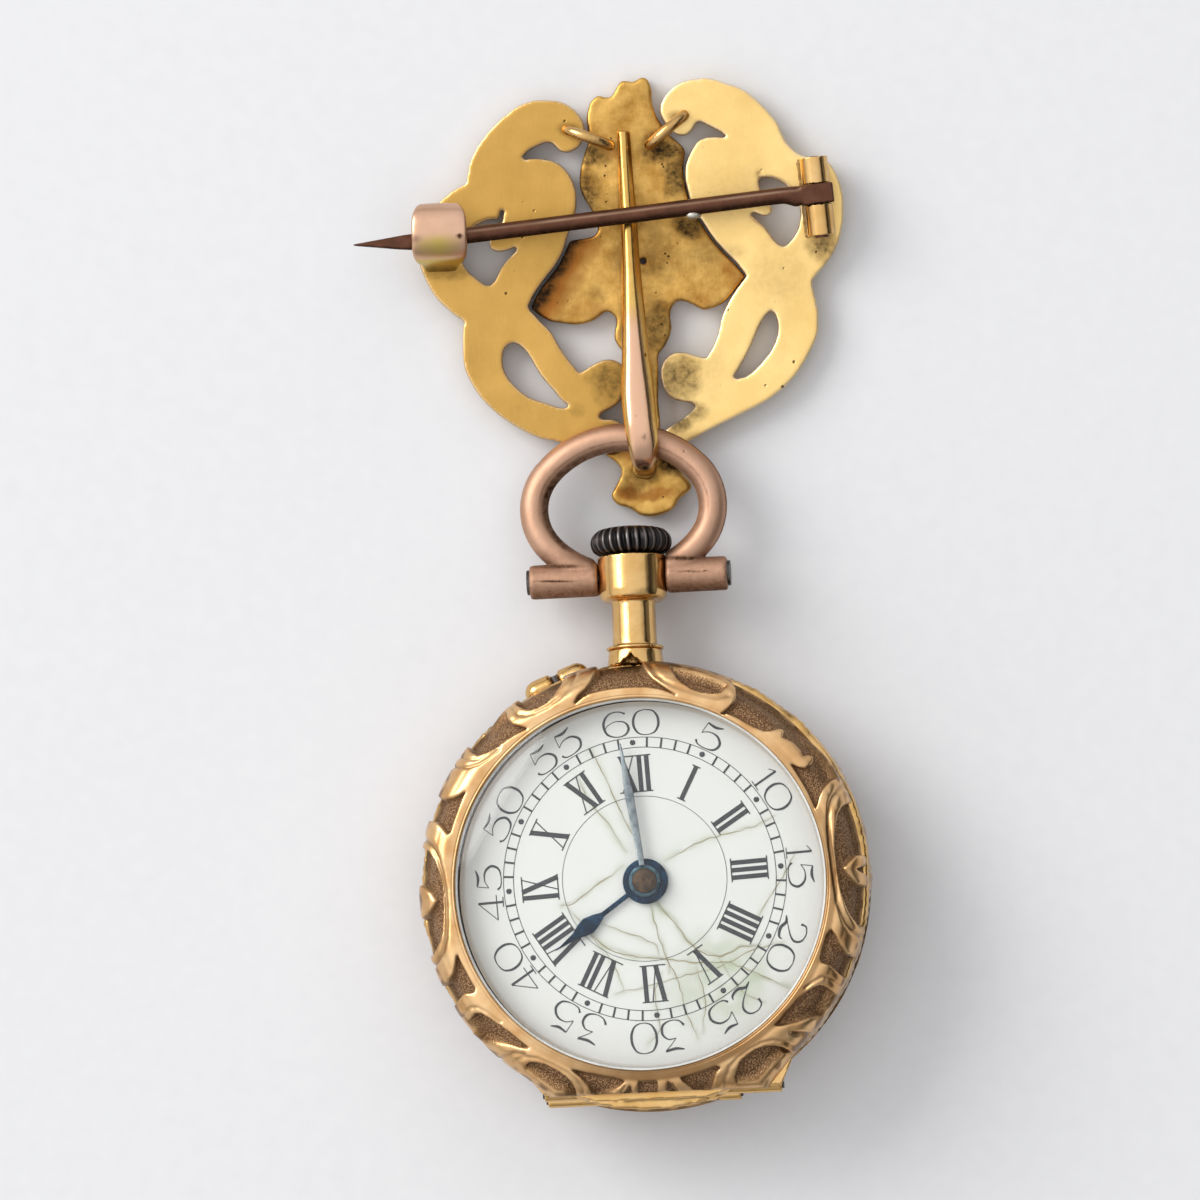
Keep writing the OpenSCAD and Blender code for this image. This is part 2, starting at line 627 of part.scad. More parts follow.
module crown() {
    r = crown_d / 2;
    color("dimgray") place_watch() drooped() rotate([-90, 0, 0]) rotate_extrude() polygon([
        [0, crown_foot], [r - 0.75, crown_foot], [r - 0.38, crown_foot + 0.15],
        [r - 0.08, crown_foot + 0.5], [r, crown_foot + 0.8], [r - 0.1, crown_foot + 1.15],
        [r - 0.4, crown_foot + 1.45], [r - 1.1, crown_top - 0.05], [0, crown_top]
    ]);
}

// An olive-shaped guard with a slot, in which the push piece stands
module push_guard() {
    color("gold") place_watch() rotate([0, 0, push_at - 90]) difference() {
        translate([0, middle_r - 0.05, 0]) {
            rod_x(-guard_half, guard_half, guard_r, [0, 0]);
            for (side = [-1, 1]) translate([side * guard_half, 0, 0]) sphere(r = guard_r);
        }
        cylinder(r = middle_r, h = 8, center = true);
        rod_y(9, 15, push_r + fit);
        block([-push_r - fit, 13, 0], [push_r + fit, 15, 2]);
    }
}

module push_pin() {
    color("dimgray") place_watch() rotate([0, 0, push_at - 90]) rod_y(11.4, push_out, push_r);
}

module dust_cover() {
    color("gold") place_watch() translate([0, 0, ledge_z - 0.25]) cylinder(r = 10.95, h = 0.25);
}

module movement() {
    color("silver") place_dial() translate([0, 0, movement_z])
        cylinder(r = 10.35, h = dial_z - movement_z);
}

module dial() {
    post_hole_r = 0.8;
    color("white") place_dial() difference() {
        translate([0, 0, dial_z]) cylinder(d = dial_d, h = dial_thick);
        translate([0, 0, dial_z - 1]) cylinder(r = post_hole_r, h = 3);
    }
}

// Hour pipe below and minute arbor above
module centre_post() {
    color("dimgray") place_dial() translate([0, 0, dial_z]) union() {
        cylinder(r = 0.6, h = 0.95);
        cylinder(r = 0.4, h = 1.6);
    }
}

module hour_hand() {
    color("midnightblue") place_dial() rotate([0, 0, hour_at]) translate([0, 0, 2.3]) difference() {
        union() {
            cylinder(r = 1.35, h = 0.2);
            linear_extrude(0.15) polygon([
                [-0.14, 1], [-0.14, 3.2], [-0.35, 3.7], [-0.52, 4.3], [-0.4, 4.8],
                [-0.2, 5.3], [0, hour_len], [0.2, 5.3], [0.4, 4.8], [0.52, 4.3],
                [0.35, 3.7], [0.14, 3.2], [0.14, 1]
            ]);
        }
        translate([0, 0, -1]) cylinder(r = 0.6 + fit, h = 3);
    }
}

module minute_hand() {
    color("slategray") place_dial() rotate([0, 0, minute_at]) translate([0, 0, 2.65]) difference() {
        union() {
            cylinder(r = 0.95, h = 0.4);
            linear_extrude(0.15) polygon([
                [-0.16, 0.8], [-0.27, 5.2], [-0.05, minute_len],
                [0.05, minute_len], [0.27, 5.2], [0.16, 0.8]
            ]);
        }
        translate([0, 0, -1]) cylinder(r = 0.4 + fit, h = 3);
    }
}

// A flat web that joins the hinge barrels of the bezel or back to its round rim
module hinge_web(axis_y, span, rim, low, thick) {
    difference() {
        translate([0, 0, low]) linear_extrude(thick) polygon([
            [span[0], axis_y], [span[1], axis_y], rim, [span[0], -11.3]
        ]);
        cylinder(r = 11.6, h = 9, center = true);
    }
}

// The bezel's outer slope is a quarter of an oval from its foot to its polished inner ring
module bezel() {
    slope_in = 11.65;
    slope_low = 1.75;
    slope = [
        for (a = [0 : 10 : 90])
            [slope_in + (bezel_r - slope_in) * cos(a), slope_low + (bezel_top - slope_low) * sin(a)]
    ];
    left_span = [fixed_left - seam, hinge_left];
    right_span = [fixed_right + seam, bezel_hinge_right];
    color("rosybrown") place_watch() difference() {
        union() {
            intersection() {
                rotate_extrude() polygon(concat(
                    [[well_r + 0.05, bezel_foot], [bezel_r, bezel_foot]],
                    slope,
                    [
                        [opening_r + 0.15, bezel_top], [opening_r, bezel_top - 0.1],
                        [opening_r, 3.52], [11.4, 3.52], [11.4, 2.6], [well_r + 0.05, 2.6]
                    ]
                ));
                block([-15, bezel_chord, 0], [15, 15, 5]);
            }
            rod_x(hinge_left, fixed_left - seam, knuckle_r, bezel_hinge);
            rod_x(fixed_right + seam, bezel_hinge_right, knuckle_r, bezel_hinge);
            hinge_web(bezel_hinge[0], left_span, [-7.9, -10.45], bezel_foot, 0.5);
            hinge_web(bezel_hinge[0], right_span, [8.9, -9.6], bezel_foot, 0.5);
        }
        rod_x(fixed_left - seam, fixed_right + seam, knuckle_r + hinge_clear, bezel_hinge);
        block(
            [fixed_left - seam, -14, 0],
            [fixed_right + seam, bezel_hinge[0], bezel_hinge[1] + knuckle_r + hinge_clear]
        );
        rod_x(-9, 9, hinge_pin_r + fit, bezel_hinge);
    }
}

module crystal() {
    centre_z = crystal_crest - crystal_r;
    color("lightblue", 0.35) place_watch() intersection() {
        difference() {
            translate([0, 0, centre_z]) sphere(r = crystal_r);
            translate([0, 0, centre_z]) sphere(r = crystal_r - crystal_thick);
        }
        cylinder(r = crystal_edge_r, h = 6);
    }
}

module back_cover() {
    rim_r = middle_r + 0.1;
    wall = 0.6;
    dome_z = dome_r - back_depth;
    color("goldenrod") place_watch() difference() {
        union() {
            intersection() {
                translate([0, 0, dome_z]) sphere(r = dome_r);
                translate([0, 0, -8]) cylinder(r = rim_r, h = 8 - bezel_foot);
            }
            rod_x(hinge_left, fixed_left - seam, knuckle_r, back_hinge);
            rod_x(fixed_right + seam, back_hinge_right, knuckle_r, back_hinge);
            hinge_web(
                back_hinge[0], [fixed_left - seam, hinge_left], [-7.4, -11.1],
                -bezel_foot - 0.3, 0.3
            );
            hinge_web(
                back_hinge[0], [fixed_right + seam, back_hinge_right], [5.6, -12.1],
                -bezel_foot - 0.3, 0.3
            );
        }
        intersection() {
            translate([0, 0, dome_z]) sphere(r = dome_r - wall);
            translate([0, 0, -8]) cylinder(r = rim_r - 0.7, h = 9);
        }
        block(
            [fixed_left - seam, -15, back_hinge[1] - knuckle_r - hinge_clear],
            [fixed_right + seam, back_hinge[0] + knuckle_r + hinge_clear, 0]
        );
        rod_x(-9, 9, hinge_pin_r + fit, back_hinge);
    }
}

module hinge_wire(right, axis) {
    rod_x(hinge_left - 0.1, right + 0.1, hinge_pin_r, axis);
}

module bezel_hinge_pin() {
    color("dimgray") place_watch() hinge_wire(bezel_hinge_right, bezel_hinge);
}

module back_hinge_pin() {
    color("dimgray") place_watch() hinge_wire(back_hinge_right, back_hinge);
}

left_scroll();
right_scroll();
centre_plaque();
jump_ring_left();
jump_ring_right();
hook();
catch();
pin_hinge();
hinge_rivet();
bow();
pin_stem();
case_middle();
pendant();
bow_screw_left();
bow_screw_right();
push_guard();
dust_cover();
movement();
dial();
centre_post();
bezel_hinge_pin();
back_hinge_pin();
crown();
winding_stem();
push_pin();
minute_hand();
hour_hand();
bezel();
crystal();
back_cover();
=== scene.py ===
# A small keyless watch that hangs by its bow from a scrolled brooch. The brooch lies on its
# front with its back up, and the watch lies on its domed back with its dial up.
import json
import math

import bmesh
import bpy
import numpy as np
from mathutils import Matrix, Vector, kdtree, noise


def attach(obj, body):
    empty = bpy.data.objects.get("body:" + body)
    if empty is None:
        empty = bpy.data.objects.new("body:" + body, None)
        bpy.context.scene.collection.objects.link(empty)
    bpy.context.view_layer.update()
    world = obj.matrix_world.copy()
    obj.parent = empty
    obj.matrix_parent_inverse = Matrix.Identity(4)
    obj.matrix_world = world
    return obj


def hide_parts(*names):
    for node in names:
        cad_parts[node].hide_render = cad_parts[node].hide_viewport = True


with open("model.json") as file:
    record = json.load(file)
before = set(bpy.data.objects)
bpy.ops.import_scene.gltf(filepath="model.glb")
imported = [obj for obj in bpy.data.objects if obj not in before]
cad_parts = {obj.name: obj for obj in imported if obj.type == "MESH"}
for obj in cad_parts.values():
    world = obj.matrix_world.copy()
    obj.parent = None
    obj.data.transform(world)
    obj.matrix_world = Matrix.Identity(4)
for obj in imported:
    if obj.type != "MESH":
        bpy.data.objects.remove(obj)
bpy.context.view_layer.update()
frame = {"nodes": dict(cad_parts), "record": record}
nodes = frame["nodes"]
joints = {joint["name"]: joint for joint in frame["record"]["behaviour"]["joints"]}

# The table top is plain pale paper board under a large soft light.
# The camera looks straight down, as the photographer's did.
MM = 0.001
SEEN_MIDDLE = (-0.70 * MM, -0.40 * MM)
CAMERA_HEIGHT = 600 * MM
SEEN_WIDTH = 72 * MM
FILM_WIDTH = 36
# Just under the object's lowest point, so that the two never share a plane
TABLE_AT = -0.02 * MM


def linear(hex_colour):
    """An sRGB hex colour as the linear RGBA that shaders take."""
    channels = [int(hex_colour[i : i + 2], 16) / 255 for i in (1, 3, 5)]
    return [c / 12.92 if c <= 0.04045 else ((c + 0.055) / 1.055) ** 2.4 for c in channels] + [1.0]


def add_node(tree, kind, inputs=None, **settings):
    """Adds a node, with its settings and with each input set to a value or linked to a socket."""
    node = tree.nodes.new("ShaderNode" + kind)
    for key, value in settings.items():
        setattr(node, key, value)
    for key, value in (inputs or {}).items():
        if isinstance(value, bpy.types.NodeSocket):
            tree.links.new(value, node.inputs[key])
        else:
            node.inputs[key].default_value = value
    return node


def new_finish(name):
    """An empty material and its tree."""
    material = bpy.data.materials.new(name)
    material.use_nodes = True
    material.node_tree.nodes.clear()
    return material, material.node_tree


def millimetres(tree):
    """A piece's own coordinates in its material, in millimetres."""
    place = add_node(tree, "TexCoord")
    scaled = add_node(tree, "Mapping", {"Vector": place.outputs["Object"], "Scale": (1000, 1000, 1000)})
    return scaled.outputs[0]


def set_stops(ramp, *stops):
    """Gives a colour ramp its stops, each a position and an sRGB colour."""
    elements = ramp.color_ramp.elements
    for i, (position, colour) in enumerate((stops[0], stops[-1])):
        elements[i].position = position
        elements[i].color = linear(colour)
    for position, colour in stops[1:-1]:
        elements.new(position).color = linear(colour)


def wear(piece, material):
    """Gives a piece one material."""
    piece.data.materials.clear()
    piece.data.materials.append(material)


def only(piece):
    """Selects one object alone and makes it active."""
    bpy.ops.object.select_all(action="DESELECT")
    piece.select_set(True)
    bpy.context.view_layer.objects.active = piece


bpy.ops.object.select_all(action="DESELECT")
bpy.ops.object.camera_add(location=(*SEEN_MIDDLE, CAMERA_HEIGHT), rotation=(0, 0, 0))
camera = bpy.context.object
camera.data.sensor_width = FILM_WIDTH
camera.data.lens = FILM_WIDTH * CAMERA_HEIGHT / SEEN_WIDTH
camera.data.clip_start = 0.01
camera.data.clip_end = 10
bpy.context.scene.camera = camera

bpy.ops.mesh.primitive_plane_add(size=3, location=(0, 0, TABLE_AT))
table_top = bpy.context.object
table_top.name = "table_top"
# Matte paper board, with a grain of about a millimetre that barely shows
board, tree = new_finish("pale_paper_board")
grain = add_node(tree, "TexNoise", {"Vector": millimetres(tree), "Scale": 0.9, "Detail": 2.0})
tone = add_node(
    tree, "Mix", {0: grain.outputs["Fac"], 6: linear("#D5D5D7"), 7: linear("#DBDBDC")}, data_type="RGBA"
)
shader = add_node(tree, "BsdfPrincipled", {"Base Color": tone.outputs[2], "Roughness": 0.85})
add_node(tree, "OutputMaterial", {"Surface": shader.outputs[0]})
wear(table_top, board)

# A square soft light at the upper left, facing the middle of the table
WINDOW_AT = (-0.63, 0.38, 0.52)
bpy.ops.object.light_add(type="AREA", location=WINDOW_AT)
window = bpy.context.object
window.name = "window_light"
window.data.shape = "SQUARE"
window.data.size = 0.54
window.data.energy = 5.5
window.data.color = linear("#FFFEFC")[:3]
window.rotation_euler = Vector(WINDOW_AT).to_track_quat("Z", "Y").to_euler()

# A pale room, brighter overhead and to the left
world = bpy.data.worlds.new("studio")
bpy.context.scene.world = world
world.use_nodes = True
tree = world.node_tree
tree.nodes.clear()
direction = add_node(tree, "TexCoord")
parts = add_node(tree, "SeparateXYZ", {0: direction.outputs["Generated"]})
sky = add_node(tree, "ValToRGB", {0: parts.outputs["Z"]})
set_stops(sky, (0.0, "#7C7A78"), (0.3, "#C6C6C7"), (0.9, "#DADBDD"))
to_left = add_node(
    tree, "MapRange",
    {"Value": parts.outputs["X"], "From Min": -1, "From Max": 1, "To Min": 1.92, "To Max": 1.32},
)
# A dark card at the right, which puts a dark line along the polished round metal
across_room = add_node(tree, "MapRange", {"Value": parts.outputs["X"], "From Min": -1, "From Max": 1})
card = add_node(tree, "ValToRGB", {0: across_room.outputs[0]})
set_stops(
    card, (0.85, "#FFFFFF"), (0.88, "#404040"), (0.955, "#404040"), (0.985, "#E0E0E0"), (1.0, "#E0E0E0")
)
beside_card = add_node(tree, "Math", {0: to_left.outputs[0], 1: card.outputs[0]}, operation="MULTIPLY")
# The room's lower right is dim
to_lower_right = add_node(
    tree, "VectorMath", {0: direction.outputs["Generated"], 1: (0.6, -0.8, 0)}, operation="DOT_PRODUCT"
)
dim_side = add_node(
    tree, "MapRange",
    {
        "Value": to_lower_right.outputs["Value"], "From Min": 0.12, "From Max": 0.6,
        "To Min": 1, "To Max": 0.5,
    },
)
strength = add_node(
    tree, "Math", {0: beside_card.outputs[0], 1: dim_side.outputs[0]}, operation="MULTIPLY"
)
room = add_node(tree, "Background", {"Color": sky.outputs[0], "Strength": strength.outputs[0]})
add_node(tree, "OutputWorld", {"Surface": room.outputs[0]})
bpy.context.scene.view_settings.view_transform = "Standard"
bpy.context.scene.view_settings.look = "None"

# The brooch's two scroll plates are cast and sawn yellow gold, satin on the back, with rims
# worn round. Their rims are painted pale as a painted highlight. Solder, pits and tarnish from
# their making are still on them.
BODIES = frame["record"]["behaviour"]["bodies"]
BODY_OF = {node: body for body, members in BODIES.items() for node in members}


def points_mm(piece):
    """The piece's vertices in millimetres."""
    flat = np.empty(len(piece.data.vertices) * 3)
    piece.data.vertices.foreach_get("co", flat)
    return flat.reshape(-1, 3) / MM


def move_points(piece, points):
    """Puts the piece's vertices at points in millimetres."""
    piece.data.vertices.foreach_set("co", (points * MM).ravel())
    piece.data.update()


def mottle(points, grain_mm, seed=0):
    """Soft random values from -1 to 1 that vary over about grain_mm."""
    shift = Vector((seed * 7.13, seed * 3.71, seed * 5.37))
    return np.array([noise.noise(Vector(p) / grain_mm + shift) for p in points])


def mark(piece, name, values):
    """Stores a value from 0 to 1 on each vertex, for the piece's material to read."""
    layer = piece.data.attributes.new(name, "FLOAT", "POINT")
    layer.data.foreach_set("value", np.clip(values, 0, 1))


def spots(points, table, seed=0, ragged=0.35):
    """How strongly marks cover points. A row is x, y, half width, half height, strength."""
    wobble = mottle(points, 0.9, seed) * ragged + mottle(points, 0.3, seed + 5) * ragged * 0.6
    cover = np.zeros(len(points))
    for x, y, half_w, half_h, strength in table:
        away = np.hypot((points[:, 0] - x) / half_w, (points[:, 1] - y) / half_h) + wobble
        cover = np.maximum(cover, strength * np.clip(1.6 - 1.1 * away, 0, 1))
    return cover


# CAD points nearer than this are one point
MERGE_MM = 0.002


def mend(piece, merge_mm=0.0):
    """Merges a mesh's points that lie within merge_mm, and turns its faces outwards."""
    only(piece)
    bpy.ops.object.mode_set(mode="EDIT")
    bpy.ops.mesh.select_all(action="SELECT")
    if merge_mm:
        bpy.ops.mesh.remove_doubles(threshold=merge_mm * MM)
    bpy.ops.mesh.normals_make_consistent(inside=False)
    bpy.ops.object.mode_set(mode="OBJECT")


def work_over(piece, name, kind, **settings):
    """Puts one modifier on a piece and applies it."""
    modifier = piece.modifiers.new(name, kind)
    for key, value in settings.items():
        setattr(modifier, key, value)
    only(piece)
    bpy.ops.object.modifier_apply(modifier=name)


def cast_and_tumble(piece, voxel_mm, passes):
    """Gives a piece small even faces and wears its edges round."""
    work_over(piece, "cast", "REMESH", mode="VOXEL", voxel_size=voxel_mm * MM)
    work_over(piece, "tumbled", "SMOOTH", factor=0.5, iterations=passes)
    bpy.ops.object.shade_smooth()


def cad_copy(node, name):
    """A copy of a CAD piece, with no finish yet."""
    piece = bpy.data.objects.new(name, nodes[node].data.copy())
    bpy.context.collection.objects.link(piece)
    piece.data.materials.clear()
    return piece


def stand_for(piece, node):
    """Makes a piece stand for a CAD node and ride with it."""
    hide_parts(node)
    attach(piece, BODY_OF[node])


def worn_copy(node, name, voxel_mm, passes):
    """A copy of a CAD piece with its edges worn round, which stands for it."""
    piece = cad_copy(node, name)
    mend(piece, MERGE_MM)
    cast_and_tumble(piece, voxel_mm, passes)
    stand_for(piece, node)
    return piece


def swell(piece, out_mm):
    """Grows a piece outwards all over, by what the tumbling took off and a little more."""
    work_over(piece, "grown", "DISPLACE", strength=out_mm * MM, mid_level=0)


def facing(piece):
    """The piece's vertex normals."""
    flat = np.empty(len(piece.data.vertices) * 3)
    piece.data.vertices.foreach_get("normal", flat)
    return flat.reshape(-1, 3)


def gold(name, light, shade, stain_and_shade, satin, blotch_mm=3.0, scratch=0.35, pits=0.0, below="#E3B184"):
    """Worn gold in two close tones. Where a piece is marked it shows stains and painted shade,
    and the metal below and painted highlights.
    """
    material, tree = new_finish(name)
    in_mm = millimetres(tree)
    blotch = add_node(
        tree, "TexNoise", {"Vector": in_mm, "Scale": 1 / blotch_mm, "Detail": 8.0, "Roughness": 0.68}
    )
    tone = add_node(tree, "ValToRGB", {0: blotch.outputs["Fac"]})
    set_stops(tone, (0.32, shade), (0.68, light))
    # The metal below shows where a piece is marked worn, and on some pieces it is a painted highlight
    bare_metal_and_highlight = add_node(tree, "Attribute", attribute_name="worn")
    two_metals_and_highlight = add_node(
        tree, "Mix", {0: bare_metal_and_highlight.outputs["Fac"], 6: tone.outputs[0], 7: linear(below)}, data_type="RGBA"
    )
    # Stains and painted shade break up into specks of about a third of a millimetre
    marked = add_node(tree, "Attribute", attribute_name="stain_and_shade")
    specks = add_node(tree, "TexNoise", {"Vector": in_mm, "Scale": 3.0, "Detail": 6.0, "Roughness": 0.7})
    speckled = add_node(
        tree, "MapRange",
        {"Value": specks.outputs["Fac"], "From Min": 0.35, "From Max": 0.62, "To Min": 1.3, "To Max": 0.6},
    )
    stain_and_shade_amount = add_node(
        tree, "Math", {0: marked.outputs["Fac"], 1: speckled.outputs[0]},
        operation="MULTIPLY", use_clamp=True,
    )
    stained_and_shaded = add_node(
        tree, "Mix", {0: stain_and_shade_amount.outputs[0], 6: two_metals_and_highlight.outputs[2], 7: linear(stain_and_shade)},
        data_type="RGBA",
    )
    # Casting pits lie in loose groups
    cells = add_node(tree, "TexVoronoi", {"Vector": in_mm, "Scale": 0.5 + 1.3 * pits})
    hole = add_node(
        tree, "MapRange",
        {"Value": cells.outputs["Distance"], "From Min": 0.06, "From Max": 0.13, "To Min": 1, "To Max": 0},
    )
    sparse = add_node(tree, "TexNoise", {"Vector": in_mm, "Scale": 0.8, "Detail": 2.0})
    group = {"From Min": 0.62 - 0.14 * pits, "From Max": 0.70 - 0.14 * pits, "To Min": 0, "To Max": 0.9}
    where = add_node(tree, "MapRange", {"Value": sparse.outputs["Fac"], **group})
    pitted = add_node(tree, "Math", {0: hole.outputs[0], 1: where.outputs[0]}, operation="MULTIPLY")
    colour = add_node(
        tree, "Mix", {0: pitted.outputs[0], 6: stained_and_shaded.outputs[2], 7: linear("#3A2A18")}, data_type="RGBA"
    )
    # Fine scratches run one way. Satin metal is uneven at a tenth of a millimetre.
    stretched = add_node(tree, "Mapping", {"Vector": in_mm, "Scale": (9, 1.2, 4), "Rotation": (0, 0, 0.5)})
    lines = add_node(tree, "TexNoise", {"Vector": stretched.outputs[0], "Scale": 1.0, "Detail": 3.0})
    fine = add_node(
        tree, "TexNoise", {"Vector": in_mm, "Scale": 9.0 if satin > 0.35 else 1.5, "Detail": 3.0}
    )
    rough = add_node(
        tree, "MapRange", {"Value": fine.outputs["Fac"], "To Min": satin - 0.03, "To Max": satin + 0.06}
    )
    dull = add_node(
        tree, "Math", {0: marked.outputs["Fac"], 1: 0.3, 2: rough.outputs[0]}, operation="MULTIPLY_ADD"
    )
    relief = add_node(
        tree, "Bump", {"Height": lines.outputs["Fac"], "Strength": scratch, "Distance": 0.02 * MM}
    )
    dented = add_node(
        tree, "Bump",
        {"Height": pitted.outputs[0], "Strength": 0.8, "Distance": -0.06 * MM, "Normal": relief.outputs[0]},
    )
    metal = {"Base Color": colour.outputs[2], "Roughness": dull.outputs[0], "Normal": dented.outputs[0]}
    shader = add_node(tree, "BsdfPrincipled", {"Metallic": 1.0, **metal})
    add_node(tree, "OutputMaterial", {"Surface": shader.outputs[0]})
    return material


# Satin gold, which gives a soft sheen with no clear reflections. The right one is painted paler,
# as painted light on the right-hand plate.
PLATE_GOLDS = {
    "left_scroll": gold(
        "satin_yellow_gold_left", light="#D2A65A", shade="#C2974D", stain_and_shade="#4E3F22", satin=0.42,
        blotch_mm=5.0, scratch=0.3, pits=0.5, below="#F0D2A4",
    ),
    "right_scroll": gold(
        "satin_yellow_gold_right", light="#FBDA92", shade="#EBC47A", stain_and_shade="#54422A", satin=0.42,
        blotch_mm=5.0, scratch=0.3, pits=0.5, below="#FFE9C4",
    ),
}

# Marks on the plates' backs: x, y, half width, half height and strength
LEFT_MARKS = [
    (-0.2, 12.7, 1.0, 1.2, 0.55), (-2.6, 27.8, 0.6, 0.35, 0.55), (0.0, 9.7, 0.9, 0.5, 0.35),
    (-10.0, 19.2, 1.4, 0.4, 0.35), (-2.2, 11.0, 0.5, 0.4, 0.25), (-6.5, 10.5, 3.4, 1.6, 0.1),
    (-8.6, 14.0, 1.4, 2.6, 0.08), (-3.2, 19.5, 1.0, 2.2, 0.12), (-4.5, 25.5, 2.0, 0.6, 0.06),
]
RIGHT_MARKS = [
    (4.1, 12.9, 1.2, 1.1, 0.65), (5.0, 10.9, 0.7, 0.5, 0.6), (4.1, 10.2, 0.7, 0.5, 0.7),
    (3.9, 28.5, 0.5, 0.35, 0.6), (12.6, 20.7, 0.8, 0.9, 0.75), (6.6, 20.4, 1.2, 0.5, 0.25),
    (5.2, 9.3, 0.8, 0.4, 0.25), (7.4, 24.0, 2.0, 1.6, 0.1), (9.9, 19.0, 1.6, 1.6, 0.14),
    (5.9, 13.6, 0.8, 1.8, 0.1), (10.2, 14.5, 0.7, 1.2, 0.05),
]
# The front is domed: its edges stand this far off the table, within this far of a sawn wall
EDGE_CURL = 0.8
CURL_WIDTH = 1.3
for node, marks, seed in (("left_scroll", LEFT_MARKS, 1), ("right_scroll", RIGHT_MARKS, 2)):
    plate = worn_copy(node, node + "_plate", voxel_mm=0.115, passes=2)
    points = points_mm(plate)
    upper = np.clip((points[:, 2] - 0.9) / 0.5, 0, 1)
    points[:, 2] += upper * (0.055 * mottle(points, 4.5, seed) + 0.012 * mottle(points, 1.2, seed))
    move_points(plate, points)
    up = facing(plate)[:, 2]
    # Pale along the rounded rims: a painted highlight, in the colour of the metal below
    mark(plate, "worn", np.clip((0.93 - up) / 0.12, 0, 1) * np.clip((up - 0.15) / 0.2, 0, 1))
    walls = points[np.abs(up) < 0.3]
    near_walls = kdtree.KDTree(len(walls))
    for i, (x, y, _) in enumerate(walls):
        near_walls.insert((x, y, 0), i)
    near_walls.balance()
    from_wall = np.array([near_walls.find((x, y, 0))[2] for x, y, _ in points])
    curl = EDGE_CURL * (1 - np.clip(from_wall / CURL_WIDTH, 0, 1)) ** 2
    points[:, 2] += curl * np.clip(1 - points[:, 2], 0, 1)
    move_points(plate, points)
    sawn = 0.5 * np.clip((0.4 - up) / 0.2, 0, 1) * np.clip(up + 0.6, 0, 1)
    stains = spots(points, marks, seed) * np.clip((points[:, 2] - 1.2) / 0.2, 0, 1)
    mark(plate, "stain_and_shade", np.maximum(stains, sawn))
    wear(plate, PLATE_GOLDS[node])

# The centre plaque is a pressed, waved strip of thinner gold, tarnished brown where it was
# heated for the hook's solder, with many small pits.
# Tarnish makes the gold blotchy, dull brown beside clear yellow.
tarnished_gold = gold(
    "tarnished_yellow_gold", light="#E0B465", shade="#A87A36", stain_and_shade="#34261A", satin=0.40,
    blotch_mm=1.5, scratch=0.5, pits=1.0, below="#8E5420",
)
PLAQUE_MARKS = [
    (-1.3, 26.2, 0.9, 0.7, 0.75), (-1.6, 24.4, 0.7, 1.2, 0.7), (-1.3, 22.7, 0.5, 0.8, 0.5),
    (3.2, 26.6, 1.3, 0.8, 0.8), (3.9, 25.2, 0.8, 1.2, 0.7), (4.6, 22.2, 0.9, 0.9, 0.8),
    (2.9, 20.5, 1.2, 1.3, 0.35), (2.7, 16.0, 0.8, 1.5, 0.6), (2.0, 13.4, 0.7, 1.2, 0.4),
    (3.6, 8.1, 0.8, 0.7, 1.0), (3.1, 15.3, 0.5, 0.8, 0.5), (1.9, 7.1, 0.9, 0.6, 0.6),
    (-0.9, 18.0, 0.5, 0.6, 0.25), (0.4, 20.2, 0.6, 0.8, 0.3), (5.3, 20.4, 1.0, 0.8, 0.3),
    (1.4, 10.4, 0.4, 1.8, 0.6), (1.5, 6.3, 0.9, 0.5, 0.45),
]
RUST_MARKS = [
    (1.1, 6.0, 0.6, 0.4, 1.0), (2.2, 5.75, 0.8, 0.3, 0.9), (3.1, 6.05, 0.7, 0.28, 0.8),
    (1.6, 8.2, 0.9, 0.4, 0.7), (7.4, 19.2, 0.7, 0.9, 0.6), (5.2, 17.6, 1.0, 0.35, 0.4),
    (-1.4, 17.0, 1.2, 0.4, 0.4), (-0.2, 26.6, 0.9, 0.5, 0.6), (2.6, 27.4, 0.6, 0.4, 0.7),
]
# A wedge under the left-hand scroll's edge, painted dark as the scroll's painted shadow, as a line
# and how far it spreads
SHADOW_WEDGE_FROM = (-2.7, 21.3)
SHADOW_WEDGE_TO = (-5.1, 17.0)


def line_distance(x, y, rows):
    """Distance from points to a broken line."""
    best = np.full(len(x), 1e9)
    for (ax, ay), (bx, by) in zip(rows, rows[1:]):
        dx, dy = bx - ax, by - ay
        t = np.clip(((x - ax) * dx + (y - ay) * dy) / (dx * dx + dy * dy), 0, 1)
        best = np.minimum(best, np.hypot(x - ax - t * dx, y - ay - t * dy))
    return best


plaque = worn_copy("centre_plaque", "centre_plaque_sheet", voxel_mm=0.12, passes=3)
points = points_mm(plaque)
wave = 0.12 * mottle(points, 2.6, 3) + 0.05 * mottle(points, 1.1, 4)
points[:, 2] += np.clip((points[:, 2] - 0.5) / 0.6, 0, 1) * wave
move_points(plaque, points)
# Dark near the wedge's line and brown further out: the scroll's painted shadow
from_shadow_wedge = line_distance(points[:, 0], points[:, 1], [SHADOW_WEDGE_FROM, SHADOW_WEDGE_TO]) + 0.25 * mottle(points, 0.8, 17)
stains = np.maximum(spots(points, PLAQUE_MARKS, 3, 0.5), np.clip((1.15 - from_shadow_wedge) / 0.6, 0, 1))
mark(plaque, "stain_and_shade", stains)
rusty = np.maximum(0.8 * spots(points, RUST_MARKS, 18, 0.9), np.clip((2.3 - from_shadow_wedge) / 1.2, 0, 0.9))
mark(plaque, "worn", rusty)
wear(plaque, tarnished_gold)

